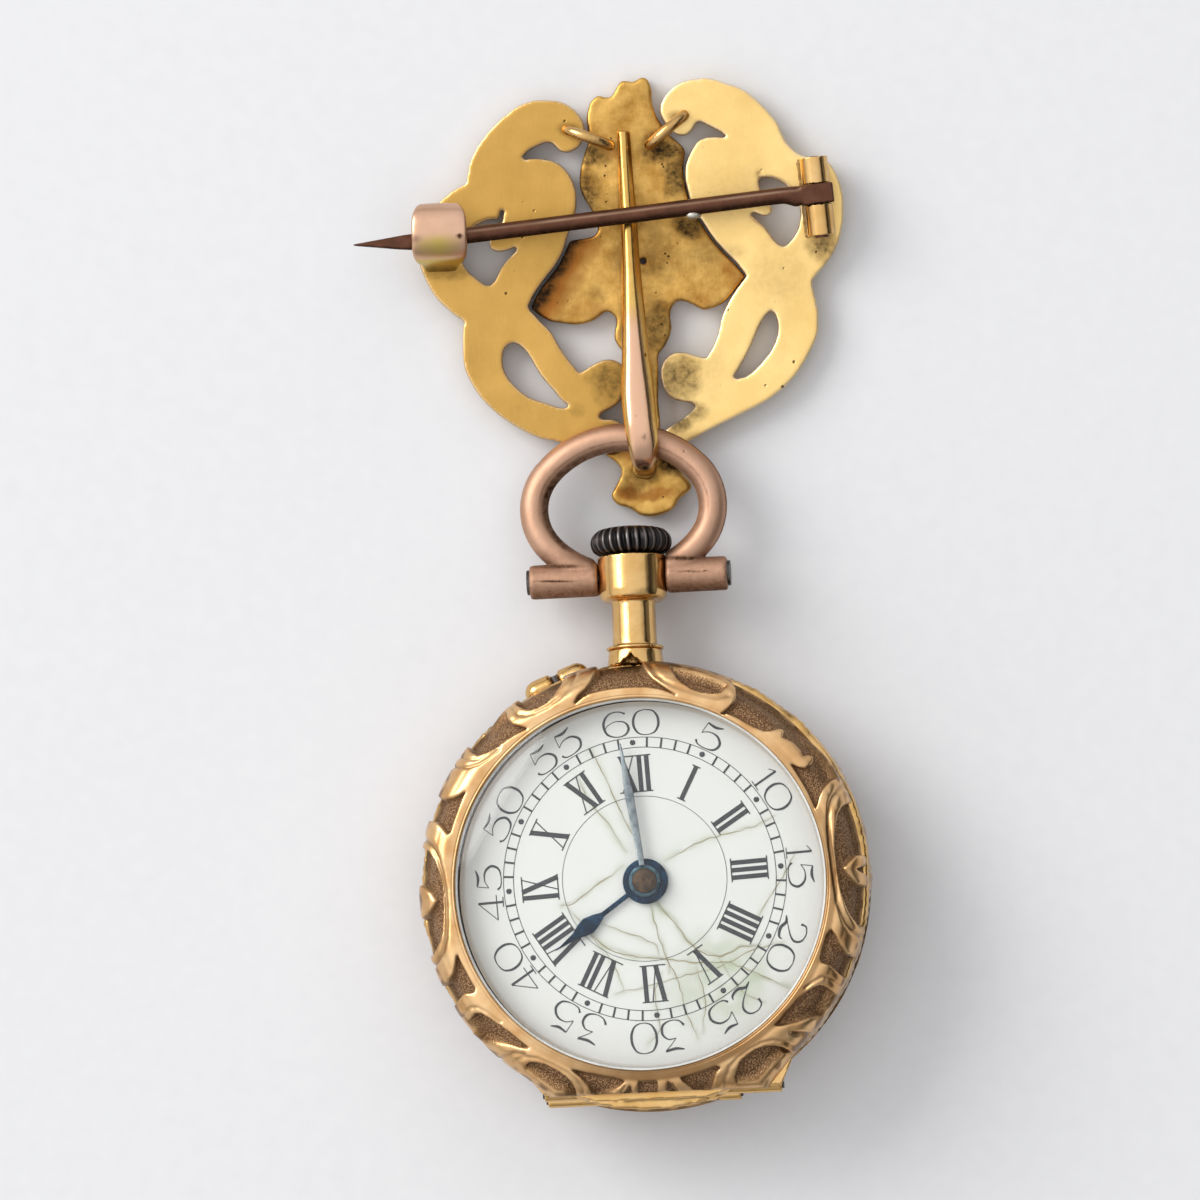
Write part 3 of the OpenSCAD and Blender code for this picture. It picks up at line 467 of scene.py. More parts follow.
# Two staples of round gold wire tie the plates together at the top. Their feet are soldered,
# and the wire is painted darker towards them, as painted shade where it meets the plates.
# Polished gold mirrors the room in bright and dark bands, blurred a little by wear.
polished_gold = gold(
    "polished_yellow_gold", light="#E0B97F", shade="#CDA15E", stain_and_shade="#402B14", satin=0.17,
    blotch_mm=2.0, scratch=0.0, pits=0.2,
)
for node in ("jump_ring_left", "jump_ring_right"):
    staple = worn_copy(node, node + "_wire", voxel_mm=0.045, passes=3)
    points = points_mm(staple)
    # Darker towards the feet: painted shade where the wire meets the plates
    mark(staple, "stain_and_shade", np.clip((2.1 - points[:, 2]) / 0.5, 0.16, 1))
    wear(staple, polished_gold)

# The hook is forged yellow gold, half round with facets, with rose gold at its polished bend.
# It is soldered flat to the plaque at its foot.
# A station is its outer side's place up the brooch and height, its inner side's, its left and
# right, and how broad its crown is, from half round at 0 to flat at 1
HOOK_STATIONS = [
    (27.7, 2.0, 27.7, 1.45, 0.29, 1.09, 0.5), (25.1, 2.3, 25.1, 1.72, 0.39, 1.29, 0.1),
    (22.6, 2.65, 22.6, 2.05, 0.5, 1.5, 0), (19.7, 3.1, 19.7, 2.43, 0.58, 1.72, 0),
    (16.9, 3.6, 16.9, 2.85, 0.58, 2.0, 0.2), (14.3, 4.07, 14.3, 3.28, 0.58, 2.28, 0.4),
    (11.9, 4.5, 11.9, 3.7, 0.56, 2.58, 0.6), (10.1, 4.83, 10.1, 4.05, 0.72, 2.72, 0.8),
    (8.95, 4.72, 9.1, 4.03, 0.9, 2.8, 1), (8.15, 4.36, 8.6, 3.66, 1.02, 2.78, 1),
    (7.55, 3.8, 8.15, 3.2, 1.14, 2.74, 1), (7.2, 3.05, 8.0, 2.65, 1.24, 2.7, 1),
    (7.08, 2.15, 8.0, 2.05, 1.3, 2.66, 1), (7.0, 1.32, 8.1, 1.32, 1.3, 2.7, 1),
]
# Half of its section from the left: how far across, how far across where the crown is broad,
# and how far out from the inner side. The right-hand half falls away lower.
HOOK_SECTION = [
    (0.0, 0.0, 0.25), (0.05, 0.02, 0.5), (0.14, 0.07, 0.72), (0.24, 0.14, 0.9), (0.34, 0.26, 0.98),
    (0.46, 0.5, 1.0), (0.57, 0.7, 0.98), (0.66, 0.82, 0.88), (0.8, 0.92, 0.62), (0.94, 0.98, 0.36),
    (1.0, 1.0, 0.18), (0.95, 0.97, 0.04), (0.84, 0.85, 0.0), (0.5, 0.5, 0.0), (0.16, 0.15, 0.0),
    (0.04, 0.03, 0.08),
]


def smooth_run(rows, steps=6):
    """A smooth curve through rows of numbers."""
    rows = np.array(rows, float)
    before = np.vstack([rows[:1], rows[:-1]])
    after = np.vstack([rows[2:], rows[-1:], rows[-1:]])
    curve = []
    for i in range(len(rows) - 1):
        a, b, c, d = before[i], rows[i], rows[i + 1], after[i]
        for s in range(steps):
            t = s / steps
            curve.append(0.5 * (2 * b + (c - a) * t + (2 * a - 5 * b + 4 * c - d) * t * t
                                + (3 * b - a - 3 * c + d) * t ** 3))
    curve.append(rows[-1])
    return np.array(curve)


def skin(name, points, faces):
    """A mesh from points in mm and faces."""
    mesh = bpy.data.meshes.new(name)
    mesh.from_pydata((np.array(points) * MM).tolist(), [], faces)
    piece = bpy.data.objects.new(name, mesh)
    bpy.context.collection.objects.link(piece)
    return piece


def loft(name, rings):
    """A closed skin over rings of points in mm, each with as many points as the next."""
    sides = len(rings[0])
    faces = [
        (r * sides + i, r * sides + (i + 1) % sides, (r + 1) * sides + (i + 1) % sides, (r + 1) * sides + i)
        for r in range(len(rings) - 1) for i in range(sides)
    ]
    last = (len(rings) - 1) * sides
    faces += [tuple(range(sides)), tuple(last + i for i in range(sides))]
    piece = skin(name, [point for ring in rings for point in ring], faces)
    mend(piece)
    bpy.ops.object.shade_smooth()
    return piece


def ramp_up(value, start, width):
    """0 below start, 1 from start plus width, and straight between them."""
    return np.clip((value - start) / width, 0, 1)


hook_rings = []
hook_rose = []
for outer_y, outer_z, inner_y, inner_z, left, right, broad in smooth_run(HOOK_STATIONS, 8):
    ring = []
    bend = ramp_up(17.3 - outer_y, 0, 1.6) * ramp_up(outer_y, 7.3, 0.4)
    for narrow_u, broad_u, v in HOOK_SECTION:
        u = narrow_u + (broad_u - narrow_u) * broad
        height = inner_z + (outer_z - inner_z) * v
        ring.append((left + (right - left) * u, inner_y + (outer_y - inner_y) * v, height))
        hook_rose.append(ramp_up(v, 0.8, 0.12) * bend)
    hook_rings.append(ring)
hook = loft("hook_forging", hook_rings)
mark(hook, "worn", np.array(hook_rose))
work_over(hook, "forged", "SUBSURF", levels=2, render_levels=2)
HOOK_MARKS = [(1.98, 7.5, 0.22, 0.16, 0.9), (1.95, 9.3, 0.07, 0.2, 0.6)]
mark(hook, "stain_and_shade", spots(points_mm(hook), HOOK_MARKS, 6, 0.1))
stand_for(hook, "hook")
# Two golds polished as one, yellow along the shank and pink at the bend
wear(hook, gold(
    "polished_two_colour_gold", light="#DCB468", shade="#C69A50", stain_and_shade="#402B14", satin=0.22,
    blotch_mm=2.0, scratch=0.25, pits=0.3, below="#DDB193",
))


POOL_STEPS = 28


def solder_pool(name, middle, half_x, half_y, rise, foot, seed):
    """A flat bead of solder with an uneven edge, in mm."""
    rings = []
    for share, height in ((1.0, 0.0), (0.97, 0.35), (0.8, 0.75), (0.5, 0.95), (0.15, 1.0)):
        ring = []
        for step in range(POOL_STEPS):
            turn = step * 2 * math.pi / POOL_STEPS
            uneven = noise.noise(Vector((math.cos(turn) * 1.3, math.sin(turn) * 1.3, seed)))
            away = share * (1 + 0.16 * uneven)
            ring.append(
                (middle[0] + half_x * away * math.cos(turn), middle[1] + half_y * away * math.sin(turn),
                 foot + rise * height)
            )
        rings.append(ring)
    return loft(name, rings)


hook_solder = solder_pool(
    "hook_solder", middle=(1.95, 7.5), half_x=0.85, half_y=0.68, rise=0.3, foot=1.15, seed=3.1,
)
mark(hook_solder, "stain_and_shade", np.full(len(hook_solder.data.vertices), 0.25))
wear(hook_solder, tarnished_gold)
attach(hook_solder, "brooch")
# A splash of grey tin solder, dull as lead, stuck to the pin
solder_chip = solder_pool(
    "solder_chip", middle=(4.85, 22.58), half_x=0.5, half_y=0.26, rise=0.5, foot=3.1, seed=8.4,
)
wear(solder_chip, gold(
    "dull_tin_solder", light="#D8D4CA", shade="#A9A497", stain_and_shade="#6A655B", satin=0.45,
    blotch_mm=0.4, scratch=0.6, pits=0.3,
))
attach(solder_chip, "pin")

# The catch is a strip of the same rose gold, rolled over, on a wedge of solder. The pin's
# point springs in under it.
# Scratched rose gold has a pink sheen, and shows yellow where its solder has spread.
rose_gold = gold(
    "polished_rose_gold", light="#D9B297", shade="#CCA386", stain_and_shade="#4A3022", satin=0.3,
    blotch_mm=3.0, scratch=0.2, pits=0.3, below="#C9B060",
)
CATCH_MIDDLE = (-10.29, 21.73)
CATCH_TURN = math.radians(1.5)
CATCH_SHEET = 0.36
# Its line seen along the pin, from its foot over to its lip, with half its width there
CATCH_LINE = [
    (-2.35, 1.5, 0.95), (-2.15, 2.1, 1.05), (-2.02, 2.8, 1.2), (-1.88, 3.4, 1.45), (-1.6, 4.05, 1.6),
    (-1.1, 4.5, 1.66), (-0.5, 4.7, 1.66), (0.1, 4.68, 1.66), (0.65, 4.55, 1.62), (1.08, 4.28, 1.5),
    (1.32, 3.9, 1.35), (1.38, 3.5, 1.25),
]
# Round the strip's section: half widths across and thicknesses out
CATCH_SECTION = (
    (-1, 0), (-0.97, 0.35), (-0.88, 0.48), (-0.6, 0.5), (0, 0.5), (0.6, 0.5), (0.88, 0.48),
    (0.97, 0.35), (1, 0), (0.97, -0.35), (0.85, -0.5), (0, -0.5), (-0.85, -0.5), (-0.97, -0.35),
)
CATCH_MARKS = [
    (-9.05, 21.25, 0.16, 0.16, 1.0), (-11.7, 21.1, 0.35, 0.25, 0.35), (-10.3, 19.35, 1.4, 0.2, 0.5),
]


def turned(x, y, angle):
    """Points turned about 0, 0, anticlockwise."""
    c, s = math.cos(angle), math.sin(angle)
    return x * c - y * s, x * s + y * c


catch_rings = []
catch_worn = []
catch_line = smooth_run(CATCH_LINE, 5)
for i, (along, height, half_wide) in enumerate(catch_line):
    ahead = catch_line[min(i + 1, len(catch_line) - 1)]
    behind = catch_line[max(i - 1, 0)]
    run, rise = ahead[0] - behind[0], ahead[1] - behind[1]
    size = math.hypot(run, rise)
    ring = []
    for u, v in CATCH_SECTION:
        out = v * CATCH_SHEET - (0.0 if v < 0 else 0.05 * u * u)
        x, y, z = half_wide * u, along - rise / size * out, height + run / size * out
        turned_x, turned_y = turned(x, y, CATCH_TURN)
        ring.append((CATCH_MIDDLE[0] + turned_x, CATCH_MIDDLE[1] + turned_y, z))
        away = math.hypot((x + 0.1) / 1.15, (y + 1.05) / 0.62)
        catch_worn.append(np.clip(1.5 - 1.1 * away, 0, 1) if y > -1.75 else ramp_up(-1.75 - y, 0, 0.15))
    catch_rings.append(ring)
catch = loft("catch_strip", catch_rings)
mark(catch, "worn", np.array(catch_worn))
work_over(catch, "rolled", "SUBSURF", levels=2, render_levels=2)
mark(catch, "stain_and_shade", spots(points_mm(catch), CATCH_MARKS, 7, 0.2))
stand_for(catch, "catch")
wear(catch, rose_gold)

# The pin turns on a steel rivet between two gold barrels, soldered to the right-hand plate.
# It is drawn steel wire, filed to a point and bent a little by wear.
BARREL_R = 0.84
hinge_axis = np.array(joints["pin_open"]["axis"])
hinge_place = np.array(joints["pin_open"]["pos_m"]) / MM
hinge = worn_copy("pin_hinge", "pin_hinge_barrels", voxel_mm=0.075, passes=3)
points = points_mm(hinge)
spoke = points - hinge_place
spoke -= np.outer(spoke @ hinge_axis, hinge_axis)
away = np.linalg.norm(spoke, axis=1)
on_barrel = (np.abs(away - BARREL_R) < 0.09) & (points[:, 2] > 2.0)
points += np.where(on_barrel, BARREL_R / away - 1, 0)[:, None] * spoke
move_points(hinge, points)
# Darker towards the plate: painted shade round the soldered base
mark(hinge, "stain_and_shade", np.clip((2.1 - points[:, 2]) / 0.5, 0, 1) * 0.8)
wear(hinge, polished_gold)


def steel(name, light, shade, satin, blotch_mm=0.8, metallic=1.0, bumpy=0.4):
    """Old steel in two tones, with a fine uneven skin."""
    material, tree = new_finish(name)
    blotch = add_node(
        tree, "TexNoise",
        {"Vector": millimetres(tree), "Scale": 1 / blotch_mm, "Detail": 6.0, "Roughness": 0.7},
    )
    tone = add_node(tree, "ValToRGB", {0: blotch.outputs["Fac"]})
    set_stops(tone, (0.38, shade), (0.62, light))
    rough = add_node(
        tree, "MapRange", {"Value": blotch.outputs["Fac"], "To Min": satin - 0.12, "To Max": satin + 0.12}
    )
    relief = add_node(
        tree, "Bump", {"Height": blotch.outputs["Fac"], "Strength": bumpy, "Distance": 0.05 * MM}
    )
    metal = {"Base Color": tone.outputs[0], "Roughness": rough.outputs[0], "Normal": relief.outputs[0]}
    shader = add_node(tree, "BsdfPrincipled", {"Metallic": metallic, **metal})
    add_node(tree, "OutputMaterial", {"Surface": shader.outputs[0]})
    return material


# Rust has browned the pin's steel but left it glossy. The small screws and pins are a dark
# steel with soft highlights.
rusted_steel = steel(
    "rust_browned_steel", light="#6E4837", shade="#4C3227", satin=0.34, blotch_mm=0.9,
    metallic=0.75, bumpy=0.05,
)
dark_steel = steel("darkened_steel", light="#6A6664", shade="#2E2B2A", satin=0.32)
wear(nodes["hinge_rivet"], rusted_steel)
STEM_MIDDLE = np.array((0.36, 22.45))
STEM_ALONG = np.array((-0.99396, -0.10973))
STEM_ASIDE = np.array((0.10973, -0.99396))
# The wire's half width and half height, and its height and slope over the table
STEM_HALF_WIDE = 0.49
STEM_HALF_HIGH = 0.46
STEM_HEIGHT = 3.34
STEM_SLOPE = 0.0195
# Its bends: how far along, and how far its middle lies to the side
STEM_BENDS = [(-11.0, -0.18), (-10.0, -0.21), (-1.0, -0.04), (8.0, 0.1), (12.0, 0.145)]
stem = worn_copy("pin_stem", "pin_stem_steel", voxel_mm=0.075, passes=5)
points = points_mm(stem)
t = (points[:, :2] - STEM_MIDDLE) @ STEM_ALONG
bend = np.interp(t, *zip(*STEM_BENDS))
aside = (points[:, :2] - STEM_MIDDLE) @ STEM_ASIDE - bend
high = points[:, 2] - STEM_HEIGHT - STEM_SLOPE * t
size = np.hypot(aside / STEM_HALF_WIDE, high / STEM_HALF_HIGH)
drawn = np.clip((t + 11.4) / 0.6, 0, 1) * np.clip((12.8 - t) / 0.8, 0, 1) * (size > 0.5)
grow = (1 / np.maximum(size, 0.5) - 1) * drawn
knee = 0.5 * np.exp(-(((t + 10.7) / 0.5) ** 2)) * (aside > 0)
points[:, :2] += np.outer(aside * (grow + knee), STEM_ASIDE)
points[:, 2] += high * grow
move_points(stem, points)
sideways = facing(stem)[:, :2] @ STEM_ASIDE
# A painted highlight along the wire's upper side, and painted shade along its lower side
painted_highlight_line = np.exp(-(((sideways + 0.42) / 0.14) ** 2)) * (0.55 + 0.6 * mottle(points, 2.2, 27))
mark(stem, "worn", painted_highlight_line * (drawn > 0.5))
mark(stem, "stain_and_shade", 0.75 * np.clip((sideways - 0.25) / 0.5, 0, 1))
# Browned steel, painted pale along its upper side as a painted highlight, and darker along its
# lower side as painted shade
wear(stem, gold(
    "rust_browned_pin", light="#6C4838", shade="#523629", stain_and_shade="#1E1410", satin=0.34,
    blotch_mm=1.2, scratch=0.15, pits=0.2, below="#B08E76",
))

# The bow is drawn rose gold wire bent to an oval, with a tube soldered on each side for the
# screws that it turns on.
# Satin rose gold has one broad soft highlight along the wire.
satin_rose_gold = gold(
    "satin_rose_gold", light="#C6A087", shade="#B68F75", stain_and_shade="#4A2E1C", satin=0.5, blotch_mm=3.0,
    scratch=0.3, pits=0.2,
)
bow = worn_copy("bow", "bow_wire", voxel_mm=0.095, passes=4)
swell(bow, 0.075)
points = points_mm(bow)
BOW_MIDDLE = (0.3, 4.5)
# Painted shade in the creases where the wire meets its tubes, and solder along the tubes
BOW_CREASES = [(-3.3, 0.73, 1.2, 0.045, 1.0), (4.94, 1.33, 1.5, 0.04, 1.0)]
BOW_SOLDER = [(-3.2, 1.6, 1.6, 0.14, 0.8), (3.9, 2.1, 1.8, 0.14, 0.8)]
to_middle = np.array(BOW_MIDDLE) - points[:, :2]
to_middle /= np.linalg.norm(to_middle, axis=1)[:, None]
turned_in = np.sum(facing(bow)[:, :2] * to_middle, axis=1)
on_wire = np.clip((points[:, 1] - 2.2) / 0.5, 0, 1)
left_and_top = np.clip(0.55 - points[:, 0] / 8, 0.35, 1)
# Painted shade along the wire's inner side, strongest at the left and top
inner = np.clip((turned_in - 0.4) / 0.25, 0, 1) * on_wire * left_and_top
inner *= 0.95 + 0.25 * mottle(points, 1.5, 19)
# A thin dark line along the inner side, the painted shade of a groove
groove = 0.42 * np.exp(-(((turned_in - 0.33) / 0.07) ** 2)) * on_wire
groove *= np.clip((points[:, 1] - 4) / 2, 0, 1)
# A dark line along the outer edge at the right, a painted reflection of the dark room there
outer = np.clip((-0.86 - turned_in) / 0.06, 0, 1) * on_wire * np.clip(points[:, 0] / 3, 0, 1)
lines = np.maximum(spots(points, BOW_CREASES, 8, 0.04), spots(points, BOW_SOLDER, 8, 0.25))
# The tubes are darker, and more on their downward side as painted shade
under = (1 - on_wire) * (0.22 + 0.5 * np.clip(-0.2 - facing(bow)[:, 1], 0, 0.8))
shades = [lines, 0.8 * inner, groove, 0.6 * outer, under]
mark(bow, "stain_and_shade", np.max(shades, axis=0))
wear(bow, satin_rose_gold)
for node in ("bow_screw_left", "bow_screw_right"):
    wear(nodes[node], dark_steel)

# The watch lies tilted in its bow. Its own axes come from its joints: across the dial, up to
# 12 o'clock, and out of it.
across = Vector(joints["bezel_open"]["axis"]).normalized()
outward = -Vector(joints["minute_turn"]["axis"]).normalized()
upward = outward.cross(across).normalized()
HANDS_AT = (0.21, 0.20, 2.5)
WATCH_TURN = Matrix((across, upward, outward)).transposed()
hands_place = Vector(joints["minute_turn"]["pos_m"]) / MM
WATCH_MIDDLE = hands_place - WATCH_TURN @ Vector(HANDS_AT)


def on_watch(points):
    """Points of the watch's own frame, in mm, as points of the scene, in mm."""
    return points @ np.array(WATCH_TURN).T + np.array(WATCH_MIDDLE)


def in_watch(points):
    """Points of the scene, in mm, as points of the watch's own frame."""
    return (points - np.array(WATCH_MIDDLE)) @ np.array(WATCH_TURN)


def about_watch(degrees, radius, height, middle=(0.0, 0.0)):
    """Points turned about the watch's axis, or about a line beside it, clockwise from 12."""
    turn = np.radians(degrees)
    return np.stack([radius * np.sin(turn) + middle[0], radius * np.cos(turn) + middle[1], height], axis=-1)


def turned_shell(name, profile, steps, shape):
    """A lathe-turned closed skin. profile is rows of radius and height, and shape(degrees, radius,
    height) gives its points in the watch's frame and the marks on them."""
    rows = len(profile)
    degrees = np.repeat(np.arange(steps) * 360.0 / steps, rows)
    radius, height = np.tile(np.array(profile, float).T, steps)
    points, marks = shape(degrees, radius, height)
    ring = np.arange(steps)[:, None] * rows
    after = ((np.arange(steps) + 1) % steps)[:, None] * rows
    step = np.arange(rows)[None, :]
    onward = (step + 1) % rows
    quads = np.stack([ring + step, after + step, after + onward, ring + onward], axis=-1)
    piece = skin(name, on_watch(points), quads.reshape(-1, 4).tolist())
    for key, values in marks.items():
        mark(piece, key, values)
    # Where the profile reaches the axis, its points there become one
    mend(piece, 0.001 if min(radius) == 0 else 0.0)
    bpy.ops.object.shade_smooth()
    return piece


# The bezel is rose gold cast and chased all over with scrolls. The scrolls are polished, and
# the grounds between them are punched matte and have gone dark.
BEZEL_R = 13.1
SLOPE_IN = 11.65
SLOPE_LOW = 1.75
BEZEL_TOP = 3.75
GROUND_DEPTH = 0.42
# Its two ears over the hinge, from the middle of the case
EAR_CHORD = 12.3
EAR_RIGHT = (12.97, math.radians(50.0))
EAR_LEFT = (12.98, math.radians(41.8))
# Its notch over the hinge's barrels: how near 6 o'clock, from where to where, and how high
NOTCH_END = -11.75
NOTCH_SIDES = (-1.96, 3.76)
NOTCH_HEIGHT = 1.5
# The slope begins and the plain rim ends at these distances from the middle
SLOPE_START = 11.12
RIM_R = 11.75
# The rim is painted darkest towards 4 o'clock, as painted shade
RIM_SHADE_TURN = math.radians(130)

# Grounds sunk between the scrolls: degrees clockwise from 12 and radius in mm, round each edge
GROUNDS = [
    [(-17.5, 11.4), (-15.5, 11.8), (-13, 12.1), (-11, 12.5), (-9.5, 12.9), (-8.5, 13.5), (0, 13.5),
     (2.5, 13.0), (4, 12.6), (6, 12.2), (8, 11.9), (10.5, 11.6), (13, 11.4), (9, 11.6),
     (5, 11.7), (0, 11.7), (-6, 11.75), (-12, 11.75), (-15, 11.6)],
    [(10.5, 12.9), (12, 12.55), (14, 12.25), (17, 12.0), (20, 11.95), (23, 12.1), (25, 12.35),
     (25.7, 12.75), (20, 12.8), (15, 12.85)],
    [(26, 13.1), (28.5, 12.85), (29.7, 12.5), (30, 12.1), (29.3, 11.6), (28.2, 11.15),
     (30, 11.35), (34, 11.4), (38, 11.45), (41.5, 11.65), (43, 11.95), (44, 12.3), (45, 12.5),
     (46, 12.45), (47, 12.15), (48, 12.25), (50, 12.4), (53, 12.4), (54.5, 12.3), (54.8, 12.55),
     (56, 12.7), (57.3, 12.6), (58, 12.3), (57.7, 11.9), (56.5, 11.6), (54.6, 11.4), (60, 11.35),
     (69.3, 11.3), (67, 11.7), (65.5, 12.1), (64.3, 12.6), (63.8, 13.0), (60, 13.05), (50, 13.1),
     (40, 13.2), (30, 13.2)],
    [(71.5, 12.8), (73, 12.5), (76, 12.15), (79, 11.9), (82, 11.75), (87, 11.7), (92, 11.8),
     (95, 11.95), (98, 12.25), (101, 12.6), (103, 12.95), (103.5, 13.5), (71, 13.5)],
    [(106.3, 11.65), (107.5, 12.0), (109.5, 12.4), (111.3, 12.8), (112.2, 13.5), (117.8, 13.5),
     (116.5, 12.7), (115.7, 12.3), (115.8, 12.0), (116, 11.75), (115, 11.6), (112, 11.5),
     (108, 11.5)],
    [(122, 12.95), (121.7, 12.6), (122, 12.25), (123.5, 12.0), (126, 11.75), (129, 11.6),
     (134, 11.55), (138.8, 11.6), (137, 11.95), (134, 12.4), (131, 12.75), (128.5, 13.05)],
    [(141, 13.05), (141.5, 12.75), (143, 12.4), (145, 12.15), (147.5, 12.0), (150.5, 12.0),
     (153, 12.1), (155, 12.35), (156.4, 12.6), (156.6, 12.75), (152, 12.8), (147, 12.8),
     (142.5, 12.85)],
    [(159, 11.85), (161, 12.1), (163, 12.6), (164.5, 12.95), (166, 12.9), (168, 12.5),
     (170, 12.0), (170.5, 11.75), (165, 11.7), (160, 11.7)],
    [(172.3, 12.75), (174.8, 12.8), (175, 12.2), (174.4, 11.85), (173.4, 12.3)],
    [(177.8, 11.7), (177.9, 12.75), (183.7, 12.75), (182.7, 11.7)],
    [(185.7, 12.75), (189.2, 12.85), (187, 12.45), (185.4, 12.0), (185, 12.3)],
    [(187.3, 11.7), (188.3, 12.0), (190.5, 12.4), (193, 12.75), (194.8, 12.9), (195.5, 12.7),
     (197, 12.35), (199.5, 12.0), (202.8, 11.7), (196, 11.6), (190, 11.6)],
    [(200, 13.0), (200.3, 12.75), (202, 12.4), (204, 12.2), (207, 12.1), (210, 12.1),
     (212.5, 12.25), (214.3, 12.45), (215, 12.65), (214.6, 12.78), (211, 12.8), (207, 12.8),
     (203, 12.8)],
    [(217, 11.75), (219, 12.0), (222, 12.3), (225, 12.65), (227.5, 12.95), (228.5, 13.05),
     (234.5, 12.85), (234.7, 12.5), (233.5, 12.2), (231, 12.0), (227, 11.8), (222, 11.7)],
    [(239.8, 11.75), (240.2, 12.0), (241, 12.3), (240.8, 12.6), (240.3, 12.95), (240.8, 13.5),
     (245.6, 13.5), (245.8, 12.9), (247, 12.4), (249, 12.0), (251.5, 11.65), (246, 11.6),
     (240.5, 11.6)],
    [(254, 13.5), (254.5, 12.9), (256.5, 12.5), (259, 12.15), (262, 11.95), (266, 11.8),
     (270, 11.75), (273, 11.85), (276, 12.05), (279, 12.4), (281.5, 12.8), (282.5, 13.5)],
    [(287.3, 11.85), (288.3, 12.2), (289.5, 12.6), (290, 13.5), (295.7, 13.5), (295.8, 12.8),
     (297, 12.4), (298.5, 12.05), (300.3, 11.8), (294, 11.75), (288, 11.75)],
    [(310.5, 12.8), (311, 12.4), (313, 12.1), (316, 11.85), (320, 11.7), (323, 11.6),
     (326.3, 11.45), (324.8, 11.9), (323.8, 12.2), (323.5, 12.6), (324.2, 13.05), (318, 13.1),
     (311.5, 13.2)],
    [(327.7, 12.95), (328.8, 12.6), (330.5, 12.3), (332.5, 12.2), (335, 12.2), (337.5, 12.4),
     (340, 12.7), (341.7, 13.0), (341, 13.15), (335, 13.1), (329, 13.1)],
]
# Hearts left standing in the two long grounds at 3 and 9 o'clock
HEARTS = [
    [(88.3, 12.1), (86.5, 12.5), (85, 12.85), (84.8, 13.3), (87.5, 13.3), (88.7, 12.8),
     (90.5, 13.3), (93.8, 13.3), (92.5, 12.75), (90.3, 12.4)],
    [(268, 12.2), (265.5, 12.6), (263.8, 13.1), (263.5, 13.6), (266.5, 13.6), (268, 13.2),
     (270, 13.6), (273, 13.6), (272.8, 13.0), (270.5, 12.5)],
]
# Lines chased along the scrolls: degrees and radius along each, then width and depth
LINES = [
    ([(4, 13.1), (6.5, 12.5), (9, 12.15), (12, 11.9), (16, 11.75), (21, 11.75), (25, 11.9),
      (27.3, 12.3)], 0.3, 0.09),
    ([(66.5, 13.0), (68, 12.6), (70, 12.2), (73, 11.85), (77, 11.6), (82, 11.45), (88, 11.45),
      (93, 11.55), (98, 11.75), (102, 12.2), (105, 12.7), (106, 13.1)], 0.28, 0.14),
    ([(119.5, 13.0), (119, 12.5), (119.8, 12.1), (122, 11.8), (125, 11.55)], 0.16, 0.09),
    ([(134, 13.2), (135.5, 12.85), (137, 12.55)], 0.18, 0.16),
    ([(139.2, 13.1), (140, 12.6), (142, 12.15), (145, 11.85), (149, 11.75), (153, 11.8),
      (156.5, 12.05), (159, 12.5), (160.5, 12.9)], 0.18, 0.07),
    ([(197.5, 13.0), (198.3, 12.6), (200.5, 12.2), (203.5, 11.95), (208, 11.85), (213, 11.95),
      (216.5, 12.3), (218.5, 12.8)], 0.18, 0.07),
    ([(222.3, 13.3), (221.5, 12.9), (219.5, 12.5), (217, 12.2)], 0.22, 0.1),
    ([(236.5, 13.0), (236.8, 12.5), (235.5, 12.1), (232.5, 11.8), (228, 11.6)], 0.16, 0.08),
    ([(250.8, 13.5), (251.8, 12.9), (254, 12.4), (257, 12.0), (261, 11.75), (266, 11.6),
      (271, 11.6), (276, 11.8), (280, 12.15), (283.3, 12.7), (285.3, 13.3)], 0.28, 0.15),
    ([(304.3, 13.2), (305.3, 12.8), (306.8, 12.4), (309, 12.0), (312, 11.75), (316, 11.6)], 0.16, 0.12),
    ([(307.5, 13.1), (308.3, 12.7), (310, 12.2), (313, 11.9), (317, 11.7)], 0.14, 0.08),
    ([(326, 13.0), (326.6, 12.5), (328.3, 12.15), (331, 11.95), (335, 11.9), (339, 12.05),
      (342.5, 12.4), (345, 12.9)], 0.26, 0.08),
    ([(171, 13.1), (171.8, 12.6), (173.4, 12.0)], 0.12, 0.1),
    ([(190.3, 13.1), (188.6, 12.6), (186.8, 12.0)], 0.12, 0.1),
]


def inside(x, y, rows):
    """True for points inside a closed outline."""
    crossed = np.zeros(len(x), bool)
    for (ax, ay), (bx, by) in zip(rows, rows[1:] + rows[:1]):
        if ay == by:
            continue
        hit = (ay > y) != (by > y)
        crossed ^= hit & (x < (bx - ax) * (y - ay) / (by - ay) + ax)
    return crossed


# Angles on the bezel's slope are turned to mm at this distance from the middle
SLOPE_MIDDLE_R = 12.4
# Past this many mm an outline has no effect
NEARBY = 6.9
# A ground's wall slopes over this width
GROUND_WALL = 0.1


def along_bezel(degrees, turn):
    """How far round the bezel's slope from the angle turn, in mm."""
    return np.radians((degrees - turn + 180) % 360 - 180) * SLOPE_MIDDLE_R


